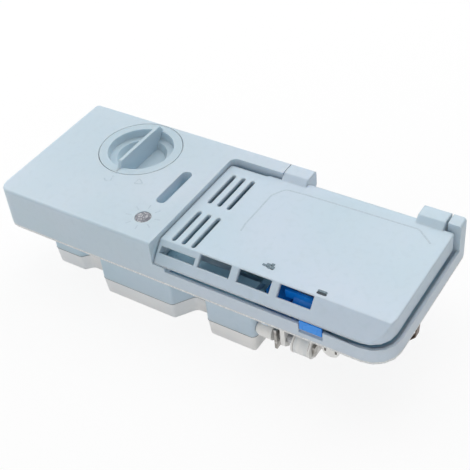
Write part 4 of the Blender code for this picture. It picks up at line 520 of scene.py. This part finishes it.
# Lid: the long cover over both cups, with vent slots, four windows in its sloping front and two hinge arms.
# A rubber ring in its underside closes the main cup, and two low pictures stand by the windows, with painted
# shade along their sides.
lid_plastic = moulded("lid_plastic", paint(194, 213, 225), paint(201, 215, 229), 0.40, edge_radius=0.0016,
                      **SKIN_DEPTH)
moulding("lid", "lid", lid_plastic)
moulding("lid_seal", "lid", dark_rubber)

LID_LEVEL = 0.0568
PANEL_LINE_WIDTH = 0.0010
PANEL_LINE_ROUND = 0.005
panel_corners = [(142.8, 33.9), (142.0, 39.8), (142.3, 66.8), (146.6, 74.4), (158.9, 75.2), (176.7, 75.6),
                 (225.2, 76.5), (234.8, 68.9)]
panel_path = filleted([spot(x, y) for x, y in panel_corners], PANEL_LINE_ROUND)
panel_line = bead(panel_path, PANEL_LINE_WIDTH, MARK_HEIGHT, LID_LEVEL)
body_of("lid_panel_line", [panel_line], mark_plastic, "lid")

picture_grey = Finish("picture_grey", paint(112, 132, 142), 0.5)
speck = picture_grey.noise(3000.0, 2.0)
speckled = picture_grey.blend(speck.rise(0.4, 0.7), paint(98, 120, 132), paint(132, 150, 160))
picture_grey.feed(Base_Color=speckled, Roughness=0.45 + speck * 0.2)
picture_painted_shade = Finish("picture_painted_shade", paint(34, 50, 60), 0.5)
speck = picture_painted_shade.noise(3000.0, 2.0)
picture_painted_shade.feed(Base_Color=picture_painted_shade.blend(speck.rise(0.4, 0.7), paint(28, 44, 54), paint(46, 64, 76)))


def cushion(width, depth):
    """Outline, in metres, of a rounded block in millimetres: the curve |x/a|^5 + |y/b|^5 = 1, which is
    x = a |cos(angle)|^(2/5) and y = b |sin(angle)|^(2/5), each with the sign of its cosine or sine."""
    angle = around(32)
    return np.stack([np.sign(np.cos(angle)) * np.abs(np.cos(angle)) ** (2 / 5) * width / 2000,
                     np.sign(np.sin(angle)) * np.abs(np.sin(angle)) ** (2 / 5) * depth / 2000], 1)


def pad(outline, middle, level, height, sink=0.00005):
    """A low pad: the outline carried up, and drawn in towards its middle over its top."""
    rows = [(1.0, -sink), (1.0, height * 0.6), (0.94, height), (0.5, height)]
    return np.stack([np.column_stack([outline * share + middle, np.full(len(outline), level + rise)])
                     for share, rise in rows])


HEAP = (170.1, 17.2)
TABLET = (202.8, 13.2)
GRAIN_HEIGHT, TABLET_HEIGHT = 0.00020, 0.00030
GRAIN_SHADE_HEIGHT, TABLET_SHADE_HEIGHT = 0.00010, 0.00016
# Each grain has a place beside the heap's, a width and a depth.
grains = [(-2.8, -0.1, 1.9, 1.3), (-0.6, 0.7, 2.5, 2.3), (1.4, 1.9, 1.9, 1.6), (2.2, -0.2, 2.3, 1.9),
          (0.4, -1.0, 2.1, 1.0)]
light_pads = [pad(cushion(wide, deep), spot(HEAP[0] + dx, HEAP[1] + dy), LID_LEVEL, GRAIN_HEIGHT)
              for dx, dy, wide, deep in grains]
light_pads.append(pad(cushion(5.2, 1.3), spot(TABLET[0], TABLET[1] + 0.3), LID_LEVEL, TABLET_HEIGHT))
body_of("dose_pictures", light_pads, picture_grey, "lid")
# Darker pads beside the pictures are painted shade of their raised sides.
painted_shade_pads = [pad(cushion(1.7, 0.6), spot(HEAP[0] + dx, HEAP[1] + dy), LID_LEVEL, GRAIN_SHADE_HEIGHT)
              for dx, dy in ((-0.8, -0.6), (1.3, 0.9), (2.3, -1.3))]
painted_shade_pads.append(pad(cushion(5.4, 1.5), spot(TABLET[0] + 0.2, TABLET[1] - 1.1), LID_LEVEL,
                      TABLET_SHADE_HEIGHT))
body_of("dose_picture_shades", painted_shade_pads, picture_painted_shade, "lid")

# Hinge: two steel pins in the strip and the ear, and a torsion spring of steel wire that throws the lid open.
# One leg of the spring stands on the rim, and the last half turn and the other leg go round with the lid.
steel = Finish("steel", paint(176, 177, 180), 0.30, Metallic=1.0)
drawn = steel.noise(1800.0, 2.0, (14, 1, 1))
steel.feed(Base_Color=steel.blend(drawn.rise(0.35, 0.7), paint(164, 165, 168), paint(196, 197, 200)),
           Roughness=0.20 + drawn * 0.25, Normal=steel.bump(drawn, 0.00001, 0.4))
moulding("hinge_pin_left", "housing", steel)
moulding("hinge_pin_right", "housing", steel)
SPRING_WIRE = 0.0007
SPRING_RADIUS = 0.0021
SPRING_PITCH = 0.0011
SPRING_TURNS = 4
MOVING_TURNS = (3.55, 4.5)
MOVING_EXTRA = 0.00002
LEG_START, LEG_END = 0.0004, 0.0070
TURN_POINTS = 24
LEG_POINTS = 8


def wire(path, thickness):
    """A round wire: path + r (cos(angle) side + sin(angle) rise), where side is square to X and to the path,
    and rise is square to both."""
    ahead = np.gradient(path, axis=0)
    ahead /= np.linalg.norm(ahead, axis=1, keepdims=True)
    side = np.cross((1.0, 0.0, 0.0), ahead)
    side /= np.linalg.norm(side, axis=1, keepdims=True)
    angle = around(12)[None, :, None]
    round_wire = side[:, None] * np.cos(angle) + np.cross(ahead, side)[:, None] * np.sin(angle)
    return path[:, None] + round_wire * thickness / 2


low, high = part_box("lid_spring")
first_turn = low.x + SPRING_WIRE / 2
hinge_y = (low.y + high.y) / 2
hinge_z = high.z - (SPRING_RADIUS + SPRING_WIRE / 2)


def turns_of(start, end):
    """Part of the spring's helix. After t turns a point is pitch times t along X, and radius times
    (cos(2 pi t), sin(2 pi t)) from the hinge's axis."""
    turn = np.linspace(start, end, int((end - start) * TURN_POINTS) + 1)
    return np.column_stack([first_turn + SPRING_PITCH * turn,
                            hinge_y + SPRING_RADIUS * np.cos(math.tau * turn),
                            hinge_z + SPRING_RADIUS * np.sin(math.tau * turn)])


def upright(x, y, start, end):
    """Points of a straight upright leg."""
    return np.column_stack([np.full(LEG_POINTS, x), np.full(LEG_POINTS, y),
                            np.linspace(start, end, LEG_POINTS)])


fixed_leg = upright(first_turn, hinge_y + SPRING_RADIUS, low.z, hinge_z - LEG_START)
fixed_wire = wire(np.concatenate([fixed_leg, turns_of(0, SPRING_TURNS)]), SPRING_WIRE)
spring_turns = body_of("lid_spring_turns", [fixed_wire], steel, "housing")
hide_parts("lid_spring")
moving_leg = upright(first_turn + SPRING_PITCH * MOVING_TURNS[1], hinge_y - SPRING_RADIUS,
                     hinge_z - LEG_START, hinge_z - LEG_END)
moving_wire = wire(np.concatenate([turns_of(*MOVING_TURNS), moving_leg]), SPRING_WIRE + MOVING_EXTRA)
body_of("lid_spring_leg", [moving_wire], steel, "lid")

# Latch: a bright blue acetal lever that rocks on a steel pin, with a spring of steel wire under it.
# Its tab shows on the front rim, and its nose, behind the windows, holds the lid's catch.
blue_plastic = Finish("blue_plastic", paint(8, 134, 234), 0.22, Coat_Weight=0.15)
flow = blue_plastic.noise(70.0, 2.0)
soft, edge = blue_plastic.rounded(0.0004)
blue = blue_plastic.blend(flow.rise(0.35, 0.65), paint(4, 128, 230), paint(24, 144, 240))
# Its edges get a painted highlight in paler blue.
blue_plastic.feed(Base_Color=blue_plastic.blend(edge * 0.25, blue, paint(96, 170, 246)),
                  Roughness=0.18 + flow * 0.16, Normal=blue_plastic.bump(flow, 0.0002, 0.15, soft))
moulding("latch_lever", "latch", blue_plastic)
moulding("latch_pin", "housing", steel)
low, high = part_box("latch_spring")
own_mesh(moulding("latch_spring", "housing", steel, 1.2))

# Rinse aid valve: a white moulded barrel on the tank's wall, with a sprung stem and a rubber seat inside.
# The prong of the release slider pulls the stem open.
moulding("valve_barrel", "housing", white_plastic)
moulding("valve_stem", "housing", white_plastic)
moulding("valve_seal", "housing", dark_rubber)
moulding("valve_spring", "housing", steel, 1.2)
moulding("release_slider", "armature", white_plastic)

# Solenoid: a copper winding, wrapped in white tape, on a white bobbin inside a bent plated steel yoke.
# Two screws hold the yoke up, and the winding pulls the steel plunger, which carries the slider.
zinc_plate = Finish("zinc_plate", paint(192, 191, 188), 0.4, Metallic=0.9)
scale = zinc_plate.noise(300.0, 4.0)
soft, edge = zinc_plate.rounded(0.0002)
oxide = zinc_plate.blend(scale.rise(0.35, 0.68), paint(150, 146, 140), paint(206, 205, 203))
zinc_plate.feed(Base_Color=zinc_plate.blend(edge * 0.6, oxide, paint(206, 205, 202)),
                Roughness=0.30 + scale * 0.3, Normal=zinc_plate.bump(scale, 0.00004, 0.35, soft))
moulding("solenoid_yoke", "housing", zinc_plate)
moulding("solenoid_plunger", "armature", steel)
moulding("coil_bobbin", "housing", white_plastic)
tinned_steel = Finish("tinned_steel", paint(112, 108, 104), 0.35, Metallic=0.85)
worn = tinned_steel.noise(800.0, 3.0)
dulled = tinned_steel.blend(worn.rise(0.4, 0.65), paint(86, 82, 80), paint(142, 139, 134))
tinned_steel.feed(Base_Color=dulled, Roughness=0.25 + worn * 0.3)
moulding("terminal_left", "housing", tinned_steel)
moulding("terminal_right", "housing", tinned_steel)

copper = Finish("copper", paint(190, 110, 66), 0.28, Metallic=0.9, Coat_Weight=0.4)
varnish = copper.noise(500.0, 3.0)
copper.feed(Base_Color=copper.blend(varnish.rise(0.35, 0.7), paint(168, 88, 48), paint(212, 134, 86)),
            Roughness=0.22 + varnish * 0.2)
WIRE_PITCH = 0.00042
WIRE_DIP = 0.00016
WIRE_POINTS = 8
BOBBIN_CORE = 0.00405
low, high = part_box("coil_winding")
coil_radius = (high.z - low.z) / 2
coil_middle = ((low.y + high.y) / 2, (low.z + high.z) / 2)
along = np.linspace(low.x, high.x, WIRE_POINTS * int((high.x - low.x) / WIRE_PITCH) + 1)
turns = coil_radius - WIRE_DIP * (1 - np.abs(np.sin(math.pi * (along - low.x) / WIRE_PITCH)))
profile_x = np.concatenate([along, [high.x, low.x]])
profile_r = np.concatenate([turns, [BOBBIN_CORE, BOBBIN_CORE]])
angle = around(48)[:, None]
winding = turned(coil_middle, profile_r * np.ones_like(angle), angle, profile_x)[..., [2, 0, 1]]
turns_piece = body_of("winding_turns", [winding], copper, "housing", loops=True)

TAPE_THICKNESS = 0.00016
TAPE_GAP = 0.00002
TAPE_INSET = 0.00006
LAP_START, LAP_SHARE = 0.7, 0.16
angle = around(96)
lap = np.mod(angle + LAP_START, math.tau) / math.tau
tape_inner = np.full(len(lap), coil_radius + TAPE_GAP)
tape_outer = tape_inner + TAPE_THICKNESS * np.where(lap < LAP_SHARE, 2, 1)
edge_in, edge_out = low.x + TAPE_INSET, high.x - TAPE_INSET
tape_x = np.array([edge_in, edge_out, edge_out, edge_in])
tape_r = np.stack([tape_inner, tape_inner, tape_outer, tape_outer], 1)
tape = turned(coil_middle, tape_r, angle[:, None], tape_x)[..., [2, 0, 1]]
tape_white = Finish("tape_white", paint(232, 233, 232), 0.6)
crinkle = tape_white.noise(500.0, 3.0, (1, 6, 6))
creased = tape_white.blend(crinkle.rise(0.4, 0.7), paint(232, 234, 234), paint(246, 246, 244))
tape_white.feed(Base_Color=creased, Roughness=0.5 + crinkle * 0.2,
                Normal=tape_white.bump(crinkle, 0.00008, 0.4))
body_of("winding_tape", [tape], tape_white, "housing", loops=True)
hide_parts("coil_winding")

SCREW_SHANK = 0.0013
SCREW_HEAD = 0.0025
SCREW_PITCH = 0.0009
THREAD_DEPTH = 0.00028
THREAD_RINGS = 60
TIP_LENGTH = 0.0006
HEAD_HEIGHT = 0.0016
CROSS_REACH = 0.0018
CROSS_HALF_WIDTH = 0.00042
CROSS_DEPTH = 0.0009
# Each ring of the head has a radius and its level under the head's upper face.
head_rings = np.array([(SCREW_HEAD, 0), (SCREW_HEAD, -0.0008), (0.0022, -0.0013), (0.0016, -HEAD_HEIGHT),
                       (0.0011, -HEAD_HEIGHT), (0.0006, -HEAD_HEIGHT), (0.0002, -HEAD_HEIGHT)])
angle = around(32)
head = np.repeat(head_rings[:, :1], len(angle), 1)
drop = np.repeat(head_rings[:, 1:], len(angle), 1)
in_cross = np.minimum(np.abs(head * np.cos(angle)), np.abs(head * np.sin(angle))) < CROSS_HALF_WIDTH
drop = np.where(in_cross & (head < CROSS_REACH), drop + CROSS_DEPTH, drop)
for number in (1, 2):
    low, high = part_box("yoke_screw_%d" % number)
    head_top = low.z + HEAD_HEIGHT
    threads = np.linspace(high.z, head_top, THREAD_RINGS)[:, None]
    shank = SCREW_SHANK - THREAD_DEPTH * np.mod(angle / math.tau + threads / SCREW_PITCH, 1)
    shank *= np.clip((high.z - threads) / TIP_LENGTH, 0.25, 1)
    levels = np.concatenate([np.repeat(threads, len(angle), 1), head_top + drop])
    screw = turned((low + high) / 2, np.concatenate([shank, head]), angle, levels)
    screw_piece = body_of("yoke_screw_%d_cut" % number, [screw], steel, "housing")
    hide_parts("yoke_screw_%d" % number)

# Clips: two strips of dark tempered spring steel that snap behind the door's panel as the unit is pushed in.
# Each is folded round a rib under the flange, and its narrower tongue is bent outwards and up.
clip_steel = Finish("clip_steel", paint(104, 96, 90), 0.38, Metallic=0.85)
rolled = clip_steel.noise(900.0, 3.0, (1, 10, 1))
soft, edge = clip_steel.rounded(0.00015)
temper = clip_steel.blend(rolled.rise(0.35, 0.7), paint(78, 70, 66), paint(124, 106, 90))
clip_steel.feed(Base_Color=clip_steel.blend(edge * 0.5, temper, paint(190, 186, 182)),
                Roughness=0.28 + rolled * 0.25, Normal=clip_steel.bump(rolled, 0.00002, 0.4, soft))
CLIP_SHEET = 0.0007
CLIP_EDGE = 0.00012
CLIP_EDGE_SHARE = 0.6
CLIP_BEND = 0.0009
RIB_INSET = 0.002
GRIP_REACH, GRIP_RISE = 0.00165, 0.0045
TONGUE_HALF_WIDTH = 0.0021
TONGUE_SHIFT = 0.0025
TONGUE_LIFT = 0.00003


def bent_strip(path, start, end):
    """A strip of even thickness: the (across, up) path, moved half a sheet to each side and carried along Y.
    Its two cut edges are a little thinner, as sheared and tumbled sheet is."""
    side = sideways(path)
    rows = []
    for place, share in ((start, CLIP_EDGE_SHARE), (start + CLIP_EDGE, 1), (end - CLIP_EDGE, 1),
                         (end, CLIP_EDGE_SHARE)):
        offset = side * share * CLIP_SHEET / 2
        ring = np.concatenate([path + offset, (path - offset)[::-1]])
        rows.append(np.column_stack([ring[:, 0], np.full(len(ring), place), ring[:, 1]]))
    return np.stack(rows)


for where, outward in (("left", -1), ("right", 1)):
    low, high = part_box("retaining_clip_" + where)
    rib = low.x + RIB_INSET if outward > 0 else high.x - RIB_INSET
    base, top = low.z + CLIP_SHEET / 2, high.z
    foot = base + TONGUE_LIFT
    middle = (low.y + high.y) / 2 + TONGUE_SHIFT
    fold = [(-GRIP_REACH, top), (-GRIP_REACH, base), (GRIP_REACH, base), (GRIP_REACH, base + GRIP_RISE)]
    tongue = [(0.0009, foot), (0.0022, foot), (0.0056, base + 0.0040), (0.0062, base + 0.0122)]
    tongue_ends = (middle - TONGUE_HALF_WIDTH, middle + TONGUE_HALF_WIDTH)
    strips = [bent_strip(filleted([(rib + outward * x, z) for x, z in bend], CLIP_BEND), start, end)
              for bend, (start, end) in ((fold, (low.y, high.y)), (tongue, tongue_ends))]
    clip = body_of("clip_leaf_" + where, strips, clip_steel, "housing")
    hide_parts("retaining_clip_" + where)

# Studio: a white floor that keeps the shadow, an even white room, and five soft boxes.
# To the camera and through clear plastic the room is plain white and most of the floor glows white.
# In reflections the floor glows too, and the room is as dim as its own light.
FLOOR_GLOW = 0.88
FLOOR_HALF = 4
FLOOR_DROP = 0.0002
floor_mesh = bpy.data.meshes.new("studio_floor")
floor_corners = [(x * FLOOR_HALF, y * FLOOR_HALF, -FLOOR_DROP)
                 for x, y in ((-1, -1), (1, -1), (1, 1), (-1, 1))]
floor_mesh.from_pydata(floor_corners, [], [(0, 1, 2, 3)])
floor = placed("studio_floor", floor_mesh)
floor_finish = Finish("studio_floor", (0.9, 0.9, 0.9, 1.0), 0.9, Specular_IOR_Level=0.0)
seen = floor_finish.node("ShaderNodeLightPath", output="Is Camera Ray")
mirrored = floor_finish.node("ShaderNodeLightPath", output="Is Glossy Ray")
refracted = floor_finish.node("ShaderNodeLightPath", output="Is Transmission Ray")
lit = seen.maths("MAXIMUM", seen, mirrored.maths("MAXIMUM", mirrored, refracted)) * FLOOR_GLOW
matt = Signal(floor_finish, floor_finish.shader.outputs["BSDF"])
glow = floor_finish.node("ShaderNodeEmission", {}, {"Color": (1, 1, 1, 1), "Strength": 1.0})
mixed = floor_finish.node("ShaderNodeMixShader", {}, {0: lit, 1: matt, 2: glow})
floor_finish.tree.links.new(floor_finish.tree.nodes["Material Output"].inputs["Surface"], mixed.socket)
floor_mesh.materials.append(floor_finish.material)

ROOM_LEVEL = 0.26
room = bpy.data.worlds.new("studio_room")
room.use_nodes = True
bpy.context.scene.world = room
room_nodes = Nodes(room.node_tree)
seen = room_nodes.node("ShaderNodeLightPath", output="Is Camera Ray")
refracted = room_nodes.node("ShaderNodeLightPath", output="Is Transmission Ray")
strength = seen.maths("MAXIMUM", seen, refracted) * (1 - ROOM_LEVEL) + ROOM_LEVEL
background = room.node_tree.nodes["Background"]
background.inputs["Color"].default_value = (1, 1, 1, 1)
room.node_tree.links.new(background.inputs["Strength"], strength.socket)


def soft_box(name, place, target, size, power):
    """A square lamp that faces a point."""
    lamp = bpy.data.lights.new(name, "AREA")
    lamp.size = size
    lamp.energy = power
    aim = (Vector(target) - Vector(place)).to_track_quat("-Z", "Y").to_matrix().to_4x4()
    placed(name, lamp).matrix_world = Matrix.Translation(place) @ aim


UNIT_MIDDLE = (0, 0, 0.03)
soft_box("overhead_box", (-0.25, 0.35, 1.15), UNIT_MIDDLE, 1.0, 5.8)
soft_box("front_box", (0.45, -0.62, 0.34), (0.02, 0, 0.03), 0.5, 1.1)
soft_box("low_box", (0.0, -0.9, 0.5), UNIT_MIDDLE, 0.6, 1.1)
soft_box("left_box", (-0.95, 0.1, 0.55), UNIT_MIDDLE, 0.8, 4.6)
soft_box("back_box", (0.1, 0.95, 0.7), UNIT_MIDDLE, 0.8, 4.9)

# Camera: the photograph's place and angle, seen through a moderate telephoto lens.
# It stands before the right end, looks down at the unit and leans a little to one side.
CAMERA_PLACE = (0.2503, -0.3280, 0.3956)
CAMERA_HEADING = math.radians(36.582)
CAMERA_DOWN = math.radians(41.169)
CAMERA_LEAN = math.radians(-6.537)
view = bpy.data.cameras.new("view")
view.sensor_width = 36.0
view.lens = 75.04
view.clip_start = 0.01
camera = placed("view", view)
aim = (Matrix.Rotation(CAMERA_HEADING, 4, "Z") @ Matrix.Rotation(math.pi / 2 - CAMERA_DOWN, 4, "X")
       @ Matrix.Rotation(CAMERA_LEAN, 4, "Z"))
camera.matrix_world = Matrix.Translation(CAMERA_PLACE) @ aim
bpy.context.scene.camera = camera
bpy.context.scene.view_settings.view_transform = "Standard"
